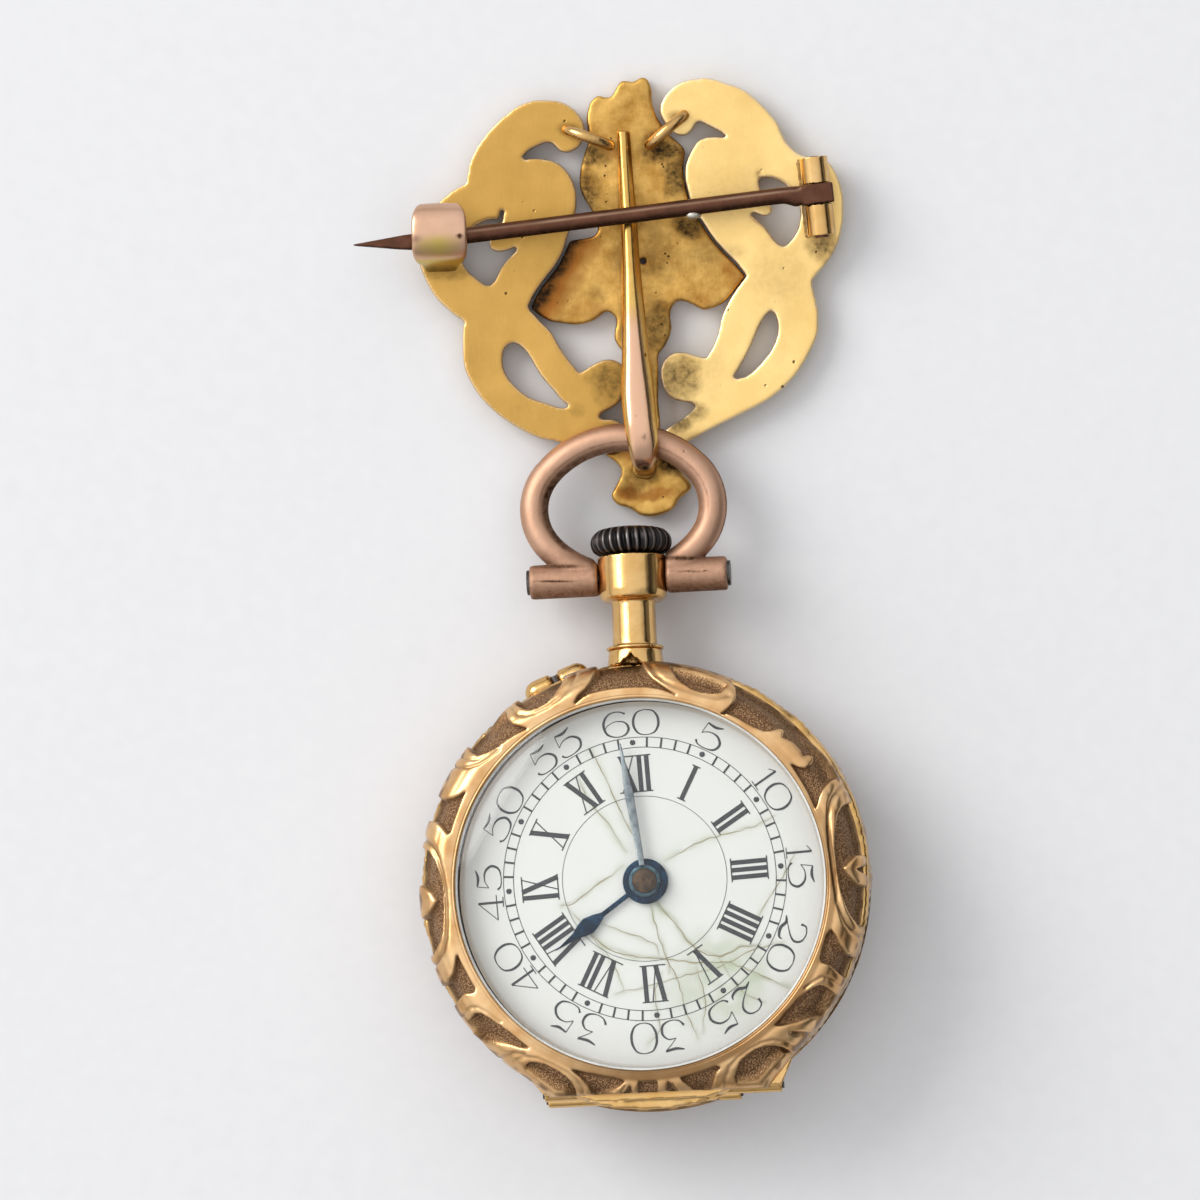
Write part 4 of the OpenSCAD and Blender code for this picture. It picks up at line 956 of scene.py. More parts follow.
def chasing(degrees, radius):
    """The depth cut below the scrolls at each point, and how far the point lies on a ground."""
    edge = np.full(len(degrees), 9.0)
    sunk = np.zeros(len(degrees), bool)
    for outlines, is_ground in ((GROUNDS, True), (HEARTS, False)):
        for rows in outlines:
            turn = sum(a for a, _ in rows) / len(rows)
            x = along_bezel(degrees, turn)
            near = np.abs(x) < NEARBY
            outline = [(along_bezel(a, turn), r) for a, r in rows + rows[:1]]
            edge[near] = np.minimum(edge[near], line_distance(x[near], radius[near], outline))
            sunk[near] = np.where(inside(x[near], radius[near], outline), is_ground, sunk[near])
    into = np.where(sunk, edge, -edge)
    on_ground = np.clip(0.5 + into / GROUND_WALL, 0, 1)
    depth = GROUND_DEPTH * on_ground * on_ground * (3 - 2 * on_ground)
    # The scrolls are rounded over at their edges
    depth += 0.07 * np.exp(-np.clip(-into, 0, 9) / 0.1) * (1 - on_ground)
    for rows, width, cut in LINES:
        turn = rows[len(rows) // 2][0]
        x = along_bezel(degrees, turn)
        near = np.abs(x) < NEARBY
        away = line_distance(x[near], radius[near], [(along_bezel(a, turn), r) for a, r in rows])
        depth[near] += cut * np.exp(-((away / (width / 2)) ** 2)) * (1 - on_ground[near])
    return depth, on_ground


def bezel_shape(degrees, radius, height):
    """The bezel's profile with the scrolls cut into its slope, and its ears over the hinge."""
    depth, on_ground = chasing(degrees, radius)
    slope = (radius > SLOPE_START) & (height > 1.3)
    # The cuts go in square to the slope, and the scrolls stand out more towards its foot
    run = np.clip((radius - SLOPE_IN) / (BEZEL_R - SLOPE_IN), 0, 1)
    rise = np.clip((height - SLOPE_LOW) / (BEZEL_TOP - SLOPE_LOW), 0, 1)
    lean_out, lean_up = run * 2.0, rise * 1.45 + 1e-6
    size = np.hypot(lean_out, lean_up)
    bulge = np.where(run > 0.5, (run - 0.5) * 0.5, 0) * (1 - on_ground)
    shift = np.where(slope, bulge - depth, 0)
    turn = np.radians(degrees)
    from_six = np.abs(turn - math.pi)
    away, lean = np.where(turn[:, None] < math.pi, EAR_RIGHT, EAR_LEFT).T
    to_chord = EAR_CHORD / np.maximum(np.cos(from_six), 0.5)
    to_side = away / np.maximum(np.cos(from_six - lean), 0.5)
    at_ears = (from_six < 0.9) & (from_six > 0.2)
    reach = np.where(at_ears, np.maximum(np.minimum(to_chord, to_side) - BEZEL_R, 0), 0)
    r = radius + shift * lean_out / size + reach * np.clip((radius - 12.0) / 1.1, 0, 1)
    points = about_watch(degrees, r, height + shift * lean_up / size)
    points[:, 1] = np.maximum(points[:, 1], -EAR_CHORD)
    notched = (points[:, 1] < NOTCH_END) & (points[:, 0] > NOTCH_SIDES[0]) & (points[:, 0] < NOTCH_SIDES[1])
    points[:, 2] = np.where(notched, np.maximum(points[:, 2], NOTCH_HEIGHT), points[:, 2])
    dents = 0.5 * np.clip((radius - 12.85) / 0.15, 0, 1) * np.clip(2.2 * mottle(points, 0.7, 28), 0, 1)
    on_rim = np.clip((RIM_R - radius) / 0.2, 0, 1)
    # Painted shade: darker on the rim towards 4 o'clock, and on the slope near 6 o'clock
    painted_rim_shade = 0.3 * on_rim * np.clip(np.cos(turn - RIM_SHADE_TURN) + 0.25, 0, 1)
    painted_rim_shade += 0.16 * np.exp(-(((degrees - 178) / 34) ** 2))
    cut = np.where(slope, depth / 0.5, 0) + dents + painted_rim_shade
    return points, {"ground": np.where(slope, on_ground, 0), "cut": cut}


slope_rows = [(BEZEL_R, 1.26), (BEZEL_R, 1.5)]
slope_rows += [
    (
        SLOPE_IN + (BEZEL_R - SLOPE_IN) * math.cos(math.radians(a)),
        SLOPE_LOW + (BEZEL_TOP - SLOPE_LOW) * math.sin(math.radians(a)),
    )
    for a in np.arange(0, 91, 3.2)
]
slope_rows += [(11.65 - 0.06 * i, BEZEL_TOP) for i in range(1, 8)]
slope_rows += [
    (11.2, BEZEL_TOP - 0.05), (11.16, BEZEL_TOP), (11.1, BEZEL_TOP - 0.02), (11.03, BEZEL_TOP - 0.07),
    (11.0, BEZEL_TOP - 0.15), (11.0, 3.52), (11.4, 3.5), (11.4, 2.6), (11.05, 2.6), (11.05, 1.26),
]
bezel = turned_shell("bezel_chased", slope_rows, 1020, bezel_shape)
stand_for(bezel, "bezel")

# Rose gold, worn smooth on the scrolls and deep brown where dirt stays in the cuts, and painted
# brown at the rim's lower right as painted shade. The grounds are punched with dots a tenth of a
# millimetre apart, which makes them matte.
chased, tree = new_finish("chased_rose_gold")
in_mm = millimetres(tree)
sunk = add_node(tree, "Attribute", attribute_name="ground")
cut = add_node(tree, "Attribute", attribute_name="cut")
punches = add_node(tree, "TexVoronoi", {"Vector": in_mm, "Scale": 9.0})
grounds = add_node(tree, "ValToRGB", {0: punches.outputs["Distance"]})
set_stops(grounds, (0.05, "#B8926A"), (0.6, "#6C4D30"))
blotch = add_node(tree, "TexNoise", {"Vector": in_mm, "Scale": 0.7, "Detail": 4.0})
scrolls = add_node(tree, "ValToRGB", {0: blotch.outputs["Fac"]})
set_stops(scrolls, (0.3, "#C79864"), (0.7, "#E3BD8C"))
# Deep brown in the cuts where dirt stays, and painted shade on the rim's lower right
dirt = add_node(
    tree, "MapRange",
    {"Value": cut.outputs["Fac"], "From Min": 0.07, "From Max": 0.4, "To Min": 0.0, "To Max": 0.8},
)
dirt_and_shade_mix = add_node(
    tree, "Mix", {0: dirt.outputs[0], 6: scrolls.outputs[0], 7: linear("#66482A")}, data_type="RGBA"
)
colour = add_node(
    tree, "Mix", {0: sunk.outputs["Fac"], 6: dirt_and_shade_mix.outputs[2], 7: grounds.outputs[0]}, data_type="RGBA"
)
rough = add_node(tree, "MapRange", {"Value": sunk.outputs["Fac"], "To Min": 0.3, "To Max": 0.6})
matte = add_node(tree, "MapRange", {"Value": sunk.outputs["Fac"], "To Min": 1.0, "To Max": 0.55})
dimples = add_node(
    tree, "Math", {0: punches.outputs["Distance"], 1: sunk.outputs["Fac"]}, operation="MULTIPLY"
)
relief = add_node(tree, "Bump", {"Height": dimples.outputs[0], "Strength": 1.0, "Distance": 0.07 * MM})
skin_grain = add_node(tree, "TexNoise", {"Vector": in_mm, "Scale": 3.0, "Detail": 4.0})
fine_relief = {"Height": skin_grain.outputs["Fac"], "Strength": 0.3, "Distance": 0.03 * MM}
uneven = add_node(tree, "Bump", {"Normal": relief.outputs[0], **fine_relief})
metal = {"Base Color": colour.outputs[2], "Roughness": rough.outputs[0], "Metallic": matte.outputs[0]}
shader = add_node(tree, "BsdfPrincipled", {"Normal": uneven.outputs[0], **metal})
add_node(tree, "OutputMaterial", {"Surface": shader.outputs[0]})
wear(bezel, chased)

# The barrels of both covers lie below this line of the watch
BARRELS_END = -10.6


def hinge_slice(node, name, height, side):
    """The hinge barrels of a cover: its CAD copy with the rest cut away. What lies past height
    goes, on the side 1 towards the dial or -1 towards the back."""
    piece = cad_copy(node, name)
    shape = bmesh.new()
    shape.from_mesh(piece.data)
    bmesh.ops.remove_doubles(shape, verts=shape.verts, dist=MERGE_MM * MM)
    for spot, past in (((0, 0, height), side * outward), ((0, BARRELS_END, 0), upward)):
        cut_open = bmesh.ops.bisect_plane(
            shape, geom=shape.verts[:] + shape.edges[:] + shape.faces[:], dist=1e-8,
            plane_co=(WATCH_MIDDLE + WATCH_TURN @ Vector(spot)) * MM, plane_no=past, clear_outer=True,
        )
        rim = [e for e in cut_open["geom_cut"] if isinstance(e, bmesh.types.BMEdge)]
        bmesh.ops.holes_fill(shape, edges=rim)
    shape.to_mesh(piece.data)
    shape.free()
    cast_and_tumble(piece, voxel_mm=0.09, passes=2)
    stand_for(piece, node)
    wear(piece, polished_gold)


hinge_slice("bezel", "bezel_barrels", height=1.7, side=1)

# The back is a domed cover of the same chased gold on its own hinge, below the bezel's.
# Its border carries the same scrolls, and its middle is left polished.
BACK_R = 13.35
DOME_R = 30.0
DOME_MIDDLE = 25.2


def back_shape(degrees, radius, height):
    """The domed back with the scrolls cut into its border."""
    depth, on_ground = chasing(-degrees, np.clip(radius - 0.1, 0, 13.05))
    border = (radius > 11.3) & (height < -1.3)
    dome = height < -1.8
    shift = np.where(border, depth * 0.6, 0)
    rim = np.clip((radius - 13.0) / 0.3, 0, 1)
    r = radius - np.where(dome, 0, shift * rim)
    points = about_watch(degrees, r, height + shift * (1 - 0.6 * rim))
    return points, {"ground": np.where(border, on_ground, 0), "cut": np.where(border, depth / 0.5, 0)}


def dome_height(radius, thick=0.0):
    """Height of the back's outer face, or of a face thick mm inside it."""
    return DOME_MIDDLE - math.sqrt((DOME_R - thick) ** 2 - radius * radius)


back_rows = [(BACK_R - 0.7, -1.26), (BACK_R, -1.26), (BACK_R, -1.4), (BACK_R, -1.6)]
back_rows += [(r, dome_height(r)) for r in np.linspace(BACK_R, 11.0, 24)]
back_rows += [(r, dome_height(r)) for r in np.linspace(10.5, 0.0, 22)]
back_rows += [(r, dome_height(r, 0.6)) for r in (0.0, 4, 8, 11, BACK_R - 0.7)]
back = turned_shell("back_chased", back_rows, 480, back_shape)
stand_for(back, "back_cover")
wear(back, chased)
hinge_slice("back_cover", "back_barrels", height=-1.75, side=-1)

# The case's ring, the pendant and the push piece's guard are polished yellow gold. The ring's
# wall is beaded and dented, and is swollen at 2 o'clock. The pendant's foot is torn.
BEADS = 75
case_ring = worn_copy("case_middle", "case_middle_gold", voxel_mm=0.14, passes=2)
local = in_watch(points_mm(case_ring))
away = np.hypot(local[:, 0], local[:, 1])
wall = np.clip((away - 12.9) / 0.2, 0, 1) * (local[:, 1] > -10.5)
turn = np.arctan2(local[:, 0], local[:, 1])
beads = np.abs(np.sin(turn * BEADS)) * (0.5 + mottle(local, 2.5, 24))
swollen = 0.26 * np.exp(-(((np.degrees(turn) - 62) / 34) ** 2))
push = wall * (0.09 * beads + 0.1 * mottle(local, 1.3, 25) + swollen)
local[:, :2] *= (1 + push / away)[:, None]
move_points(case_ring, on_watch(local))
mark(case_ring, "stain_and_shade", wall * np.clip(0.9 * mottle(local, 0.9, 26) + 0.1, 0, 1))
wear(case_ring, polished_gold)

TEAR_TIP = (-0.16, 13.92)
TEAR_SLOPE = 0.95
TEAR_HALF_WIDTH = 0.85
pendant = worn_copy("pendant", "pendant_gold", voxel_mm=0.075, passes=4)
local = in_watch(points_mm(pendant))
beside_tip = np.abs(local[:, 0] - TEAR_TIP[0])
edge = TEAR_TIP[1] - TEAR_SLOPE * beside_tip + 0.14 * mottle(local, 0.3, 9) - local[:, 1]
torn = (local[:, 2] > 0) & (beside_tip < TEAR_HALF_WIDTH)
tear = np.where(torn, np.clip(edge / 0.1, 0, 1), 0)
local[:, 2] -= 0.4 * tear
move_points(pendant, on_watch(local))
mark(pendant, "stain_and_shade", tear * 1.2)
wear(pendant, polished_gold)

guard = worn_copy("push_guard", "push_guard_gold", voxel_mm=0.06, passes=8)
swell(guard, 0.14)
wear(guard, polished_gold)
for node in ("dust_cover", "movement"):
    wear(nodes[node], polished_gold)
for node in ("winding_stem", "push_pin", "bezel_hinge_pin", "back_hinge_pin"):
    wear(nodes[node], dark_steel)

# The crown is black steel, turned and then knurled with slanting rounded ribs. It is
# screwed to the end of its stem.
RIBS = 27
RIB_DEPTH = 0.2
RIB_SLANT = 0.03
CROWN_MIDDLE = 20.6
crown_axis = Vector(joints["crown_turn"]["axis"]).normalized()
crown_place = Vector(joints["crown_turn"]["pos_m"]) / MM


def about_pendant(degrees, radius, height):
    """Points turned about the pendant's own axis, in the watch's frame."""
    turn = np.radians(degrees)
    side = np.array(across.cross(crown_axis).normalized())
    spread = np.outer(radius * np.sin(turn), np.array(across)) + np.outer(radius * np.cos(turn), side)
    return in_watch(spread + np.outer(height - CROWN_MIDDLE, np.array(crown_axis)) + np.array(crown_place))


def crown_shape(degrees, radius, height):
    """The crown's profile with its ribs."""
    phase = RIBS * (np.radians(degrees) + (height - CROWN_MIDDLE) * RIB_SLANT)
    groove = np.clip((radius - 1.55) / 0.45, 0, 1) * (1 - np.abs(np.cos(phase / 2)) ** 1.2)
    return about_pendant(degrees, radius - RIB_DEPTH * groove, height), {"cut": groove}


crown_rows = [(0.0, 19.83), (1.6, 19.83), (1.9, 19.87), (2.12, 19.96), (2.28, 20.1), (2.38, 20.27),
              (2.43, 20.45), (2.44, 20.63), (2.41, 20.81), (2.34, 20.98), (2.23, 21.13), (2.08, 21.27),
              (1.88, 21.37), (1.6, 21.43), (1.3, 21.46), (0.9, 21.48), (0.0, 21.48)]
crown = turned_shell("crown_knurled", crown_rows, RIBS * 12, crown_shape)
stand_for(crown, "crown")

# Blackened steel, painted pale along the crests of its ribs as a painted highlight
black_steel, tree = new_finish("black_knurled_steel")
in_groove = add_node(tree, "Attribute", attribute_name="cut")
painted_crest_highlight = add_node(tree, "ValToRGB", {0: in_groove.outputs["Fac"]})
set_stops(painted_crest_highlight, (0.0, "#7E7774"), (0.16, "#252121"))
shader = add_node(
    tree, "BsdfPrincipled", {"Base Color": painted_crest_highlight.outputs[0], "Roughness": 0.34, "Metallic": 0.9}
)
add_node(tree, "OutputMaterial", {"Surface": shader.outputs[0]})
wear(crown, black_steel)

# A thin ring stands out where the pendant's neck rises from its foot. It is turned from the
# same yellow gold as the pendant.
RING_R = 1.63
RING_AT = 14.22
RING_WIRE = 0.1
ring_rows = [
    (RING_R + RING_WIRE * math.cos(math.radians(a)), RING_AT + RING_WIRE * math.sin(math.radians(a)))
    for a in range(0, 360, 30)
]
pendant_ring = turned_shell("pendant_ring", ring_rows, 96, lambda *place: (about_pendant(*place), {}))
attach(pendant_ring, "watch")
wear(pendant_ring, polished_gold)

# The dial is white enamel fired on copper, a little domed, with hairline cracks that have
# taken in green and brown dirt.
DIAL_R = 10.92
DIAL_TOP = 2.1
DIAL_FALL = 0.22
DIAL_THICK = 0.4
# Its edge is rounded over from here out
DIAL_EDGE = 10.75
DIAL_AT = (0.14, 0.38)
DIAL_TURN = math.radians(2.6)
# How far the dial is turned as the camera sees it
VIEW_TURN = math.radians(5.1)


def dial_height(r):
    """Height of the enamel at a distance from the dial's middle."""
    return DIAL_TOP - DIAL_FALL * (r / DIAL_R) ** 2


def on_dial(x, y, z):
    """Points of the dial's frame, 12 o'clock up, as points of the scene in mm."""
    x, y = turned(x, y, DIAL_TURN)
    return on_watch(np.stack([DIAL_AT[0] + x, DIAL_AT[1] + y, z], axis=-1))


# Cracks as the camera sees them: mm right of and above the dial's middle, then half width and
# strength
CRACKS = [
    ([(0.6, -1.2), (1.7, -2.5), (2.5, -3.6), (3.2, -4.3), (4.4, -4.6), (5.7, -4.1), (6.8, -4.0)],
     0.10, 0.85),
    ([(-3.4, -3.1), (-2.2, -4.1), (-0.7, -4.6), (1.5, -4.8), (3.2, -5.0), (4.9, -5.0), (6.8, -5.7),
      (8.5, -6.5)], 0.12, 0.6),
    ([(-2.5, -2.7), (-0.5, -3.4), (0.6, -3.9), (0.9, -4.7)], 0.09, 0.35),
    ([(1.2, 1.0), (2.9, 2.0), (4.4, 2.5), (5.9, 2.9), (7.8, 3.7)], 0.09, 0.4),
    ([(-1.1, 1.6), (-2.2, 3.3), (-3.2, 4.4), (-3.9, 5.9)], 0.10, 0.45),
    ([(-0.3, 2.0), (-1.3, 3.7), (-2.4, 6.1), (-3.2, 7.6)], 0.10, 0.4),
    ([(-1.3, 0.7), (-3.0, -0.5), (-4.2, -1.4), (-5.0, -1.6)], 0.11, 0.45),
    ([(1.2, -4.6), (2.0, -6.1), (2.5, -8.0), (3.2, -9.5)], 0.12, 0.4),
    ([(0.3, -1.4), (0.7, -3.0), (1.3, -4.7), (1.5, -5.6)], 0.10, 0.45),
    ([(4.4, -4.6), (5.2, -6.0), (5.9, -6.8), (7.2, -7.4)], 0.12, 0.5),
    ([(-1.8, -6.8), (0.5, -6.3), (2.5, -5.7), (4.5, -5.2), (6.5, -4.2), (8.2, -3.8)], 0.11, 0.4),
    ([(1.0, -5.5), (0.6, -7.0), (0.9, -8.8), (0.2, -9.8)], 0.14, 0.3),
    ([(3.0, -5.2), (3.6, -7.2), (3.4, -9.2)], 0.12, 0.35),
    ([(6.5, -2.8), (7.4, -1.2), (8.4, 0.4), (9.0, 1.6)], 0.10, 0.3),
    ([(-4.6, -1.7), (-3.4, -3.1), (-1.9, -5.0), (-1.2, -6.8)], 0.10, 0.3),
]
# A square grid pressed out to a disc
DIAL_STEPS = 200
half = np.linspace(-1, 1, DIAL_STEPS + 1)
u, v = np.meshgrid(half, half, indexing="ij")
disc_x = (u * np.sqrt(1 - v * v / 2) * DIAL_R).ravel()
disc_y = (v * np.sqrt(1 - u * u / 2) * DIAL_R).ravel()
dial_x, dial_y = turned(disc_x - DIAL_AT[0], disc_y - DIAL_AT[1], -DIAL_TURN)
dial_z = dial_height(np.hypot(dial_x, dial_y)) - 0.3 * np.clip(np.hypot(disc_x, disc_y) - DIAL_EDGE, 0, 1)
index = np.arange((DIAL_STEPS + 1) ** 2).reshape(DIAL_STEPS + 1, DIAL_STEPS + 1)
quads = np.stack([index[:-1, :-1], index[1:, :-1], index[1:, 1:], index[:-1, 1:]], axis=-1)
dial = skin("dial_enamel", on_dial(dial_x, dial_y, dial_z), quads.reshape(-1, 4).tolist())
seen_x, seen_y = turned(dial_x, dial_y, VIEW_TURN)
flat = np.stack([seen_x, seen_y, np.zeros(len(seen_x))], axis=-1)
wander_x = 0.16 * mottle(flat, 0.8, 11)
wander_y = 0.16 * mottle(flat, 0.8, 12)
fade = 0.65 + 0.5 * mottle(flat, 1.5, 13)
crack = np.zeros(len(seen_x))
haze = np.zeros(len(seen_x))
for rows, width, strength in CRACKS:
    away = line_distance(seen_x + wander_x, seen_y + wander_y, rows)
    crack = np.maximum(crack, 0.6 * strength * fade * np.clip(1.25 - away / width, 0, 1))
    haze = np.maximum(haze, strength * np.clip(1 - away / 0.7, 0, 1) ** 2)
# The dirt clouds over at 5 o'clock, where the cracks meet
cloud = np.hypot(seen_x - 4.4, seen_y + 6.1) + 0.8 * mottle(flat, 1.8, 15)
haze = np.maximum(haze, 0.75 * np.clip(1.5 - cloud / 2.5, 0, 1))
mark(dial, "crack", crack)
mark(dial, "haze", haze * (0.6 + 0.6 * mottle(flat, 0.9, 14)))
only(dial)
bpy.ops.object.mode_set(mode="EDIT")
bpy.ops.mesh.select_all(action="DESELECT")
bpy.ops.mesh.select_non_manifold()
bpy.ops.mesh.extrude_region_move(TRANSFORM_OT_translate={"value": -DIAL_THICK * MM * outward})
bpy.ops.mesh.fill()
bpy.ops.object.mode_set(mode="OBJECT")
mend(dial)
bpy.ops.object.shade_smooth_by_angle(angle=math.radians(40))
stand_for(dial, "dial")

# Fired enamel, glassy and a little uneven in its white
enamel, tree = new_finish("white_fired_enamel")
uneven = add_node(tree, "TexNoise", {"Vector": millimetres(tree), "Scale": 0.25, "Detail": 3.0})
white = add_node(
    tree, "Mix", {0: uneven.outputs["Fac"], 6: linear("#D5D5CF"), 7: linear("#DEDDD8")}, data_type="RGBA"
)
cracked = add_node(tree, "Attribute", attribute_name="crack")
hazed = add_node(tree, "Attribute", attribute_name="haze")
greenish = add_node(
    tree, "Mix", {0: hazed.outputs["Fac"], 6: white.outputs[2], 7: linear("#9CA880")}, data_type="RGBA"
)
brownish = add_node(
    tree, "Mix", {0: cracked.outputs["Fac"], 6: greenish.outputs[2], 7: linear("#7A6844")}, data_type="RGBA"
)
shader = add_node(
    tree, "BsdfPrincipled",
    {"Base Color": brownish.outputs[2], "Roughness": 0.12, "Coat Weight": 0.3, "Coat Roughness": 0.05},
)
add_node(tree, "OutputMaterial", {"Surface": shader.outputs[0]})
wear(dial, enamel)

# The numerals and the minute track are black enamel paint, a few hundredths thick, drawn with
# a fine brush and fired onto the dial.
INK_RISE = 0.02
black_paint = {"points": [], "faces": []}


def brush(paint, rows, widths):
    """Adds a stroke to a coat of paint, through rows of the dial's x and y, with a width at each."""
    rows = np.array(rows, float)
    widths = np.broadcast_to(np.array(widths, float), (len(rows),))
    along = np.gradient(rows, axis=0)
    along /= np.linalg.norm(along, axis=1)[:, None] + 1e-12
    aside = np.stack([-along[:, 1], along[:, 0]], axis=-1) * widths[:, None] / 2
    start = len(paint["points"])
    for left, right in zip(rows + aside, rows - aside):
        paint["points"] += [left, right]
    paint["faces"] += [(i, i + 1, i + 3, i + 2) for i in range(start, len(paint["points"]) - 2, 2)]


def lay_paint(name, paint, rise):
    """Lays a coat of paint on the dial, rise mm over the enamel."""
    x, y = np.array(paint["points"]).T
    coat = skin(name, on_dial(x, y, dial_height(np.hypot(x, y)) + rise), paint["faces"])
    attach(coat, "watch")
    return coat


def circle_run(radius, from_deg=0.0, to_deg=360.0, steps=240):
    """Points around the dial, in degrees clockwise from 12."""
    angles = np.radians(np.linspace(from_deg, to_deg, steps + 1))
    return np.stack([radius * np.sin(angles), radius * np.cos(angles)], axis=-1)


TRACK_OUT = 8.42
TRACK_IN = 7.82
TRACK_LINE = 0.04
TICK = 0.12
DOT_R = 0.085
FINE_RING = 4.9
FINE_LINE = 0.03
for radius, width in ((TRACK_OUT, TRACK_LINE), (TRACK_IN, TRACK_LINE), (FINE_RING, FINE_LINE)):
    brush(black_paint, circle_run(radius), width)
for minute in range(60):
    angle = math.radians(minute * 6)
    out = np.array([math.sin(angle), math.cos(angle)])
    if minute % 5:
        brush(black_paint, [out * TRACK_IN, out * TRACK_OUT], TICK)
    else:
        middle = out * (TRACK_IN + TRACK_OUT) / 2
        brush(black_paint, middle + circle_run(DOT_R, 0, 360, 12), 2 * DOT_R)

# Roman hours: for each letter its width, then strokes of x, y to x, y and thickness, where
# a letter is 1 tall
ROMAN_STROKES = {
    "I": (0.2, [(0.1, 0, 0.1, 1, 0.1)]),
    "V": (0.46, [(0.07, 1, 0.25, 0, 0.105), (0.25, 0, 0.4, 1, 0.025)]),
    "X": (0.46, [(0.06, 1, 0.4, 0, 0.105), (0.4, 1, 0.06, 0, 0.025)]),
}
ROMAN = ["XII", "I", "II", "III", "IIII", "V", "VI", "VII", "VIII", "IX", "X", "XI"]
ROMAN_FOOT = 5.15
ROMAN_TALL = 2.2
ROMAN_WEIGHT = 1.25
SERIF = 0.034


def letter_place(angle, x, y):
    """A point of a figure that stands on the dial's middle, at an angle from 12."""
    out = np.array([math.sin(angle), math.cos(angle)])
    right = np.array([math.cos(angle), -math.sin(angle)])
    return right * x + out * y


for hour, letters in enumerate(ROMAN):
    angle = math.radians(hour * 30)
    wide = sum(ROMAN_STROKES[letter][0] for letter in letters)
    at = -wide / 2
    for letter in letters:
        width, strokes = ROMAN_STROKES[letter]
        for x0, y0, x1, y1, thick in strokes:
            ends = [
                letter_place(angle, (at + x) * ROMAN_TALL, ROMAN_FOOT + y * ROMAN_TALL)
                for x, y in ((x0, y0), (x1, y1))
            ]
            brush(black_paint, ends, ROMAN_WEIGHT * thick * ROMAN_TALL)
        at += width
    for y in (0.012, 0.988):
        ends = [
            letter_place(angle, x * ROMAN_TALL, ROMAN_FOOT + y * ROMAN_TALL)
            for x in (-wide / 2 - 0.02, wide / 2 + 0.02)
        ]
        brush(black_paint, ends, SERIF * ROMAN_TALL)

# Arabic minutes: strokes through x and y, where a figure is 1 tall, with widths at their
# ends and middle
FIGURES = {
    "0": [([(0.5, 1.0), (0.2, 0.93), (0.04, 0.72), (0.0, 0.5), (0.04, 0.28), (0.2, 0.07), (0.5, 0.0),
            (0.8, 0.07), (0.96, 0.28), (1.0, 0.5), (0.96, 0.72), (0.8, 0.93), (0.5, 1.0)],
           (0.035, 0.06, 0.09, 0.1, 0.09, 0.06, 0.035, 0.06, 0.09, 0.1, 0.09, 0.06, 0.035))],
    "1": [([(0.42, 0.0), (0.42, 1.0)], (0.09, 0.09)), ([(0.42, 1.0), (0.18, 0.82)], (0.04, 0.03)),
          ([(0.2, 0.0), (0.64, 0.0)], (0.035, 0.035))],
    "2": [([(0.14, 0.68), (0.16, 0.88), (0.42, 1.0), (0.74, 0.94), (0.86, 0.72), (0.74, 0.5),
            (0.42, 0.26), (0.06, 0.02)], (0.1, 0.06, 0.04, 0.07, 0.09, 0.06, 0.035, 0.03)),
          ([(0.06, 0.02), (0.3, 0.12), (0.6, 0.02), (0.92, 0.1), (0.98, 0.24)],
           (0.04, 0.11, 0.12, 0.09, 0.03))],
    "3": [([(0.12, 0.96), (0.46, 0.92), (0.86, 0.99)], (0.05, 0.11, 0.09)),
          ([(0.86, 0.98), (0.6, 0.76), (0.42, 0.58)], (0.035, 0.03, 0.03)),
          ([(0.42, 0.58), (0.72, 0.6), (0.94, 0.42), (0.9, 0.14), (0.6, 0.0), (0.26, 0.02), (0.06, 0.18)],
           (0.03, 0.05, 0.09, 0.09, 0.04, 0.05, 0.1))],
    "4": [([(0.7, 1.0), (0.0, 0.26)], (0.035, 0.035)), ([(0.0, 0.26), (1.0, 0.26)], (0.04, 0.04)),
          ([(0.7, 1.0), (0.7, 0.0)], (0.1, 0.09)), ([(0.5, 0.0), (0.9, 0.0)], (0.04, 0.04))],
    "5": [([(0.2, 0.98), (0.55, 0.92), (0.86, 1.0)], (0.06, 0.11, 0.04)),
          ([(0.2, 0.98), (0.12, 0.52)], (0.03, 0.03)),
          ([(0.12, 0.52), (0.4, 0.66), (0.76, 0.62), (0.97, 0.36), (0.84, 0.08), (0.5, 0.0),
            (0.16, 0.04), (0.02, 0.18)], (0.03, 0.04, 0.08, 0.1, 0.08, 0.04, 0.05, 0.09))],
    "6": [([(0.88, 0.9), (0.6, 1.0), (0.26, 0.94), (0.04, 0.7), (0.0, 0.42), (0.14, 0.12), (0.5, 0.0),
            (0.84, 0.08), (0.98, 0.32), (0.84, 0.56), (0.5, 0.62), (0.18, 0.5), (0.04, 0.34)],
           (0.08, 0.04, 0.06, 0.09, 0.1, 0.08, 0.04, 0.07, 0.1, 0.06, 0.035, 0.03, 0.03))],
}
FIGURE_FOOT = 8.52
FIGURE_TALL = 1.5
FIGURE_WIDE = 1.18
FIGURE_SIDE = 0.09
advance = {digit: FIGURE_WIDE for digit in FIGURES}
advance["1"] = 0.8
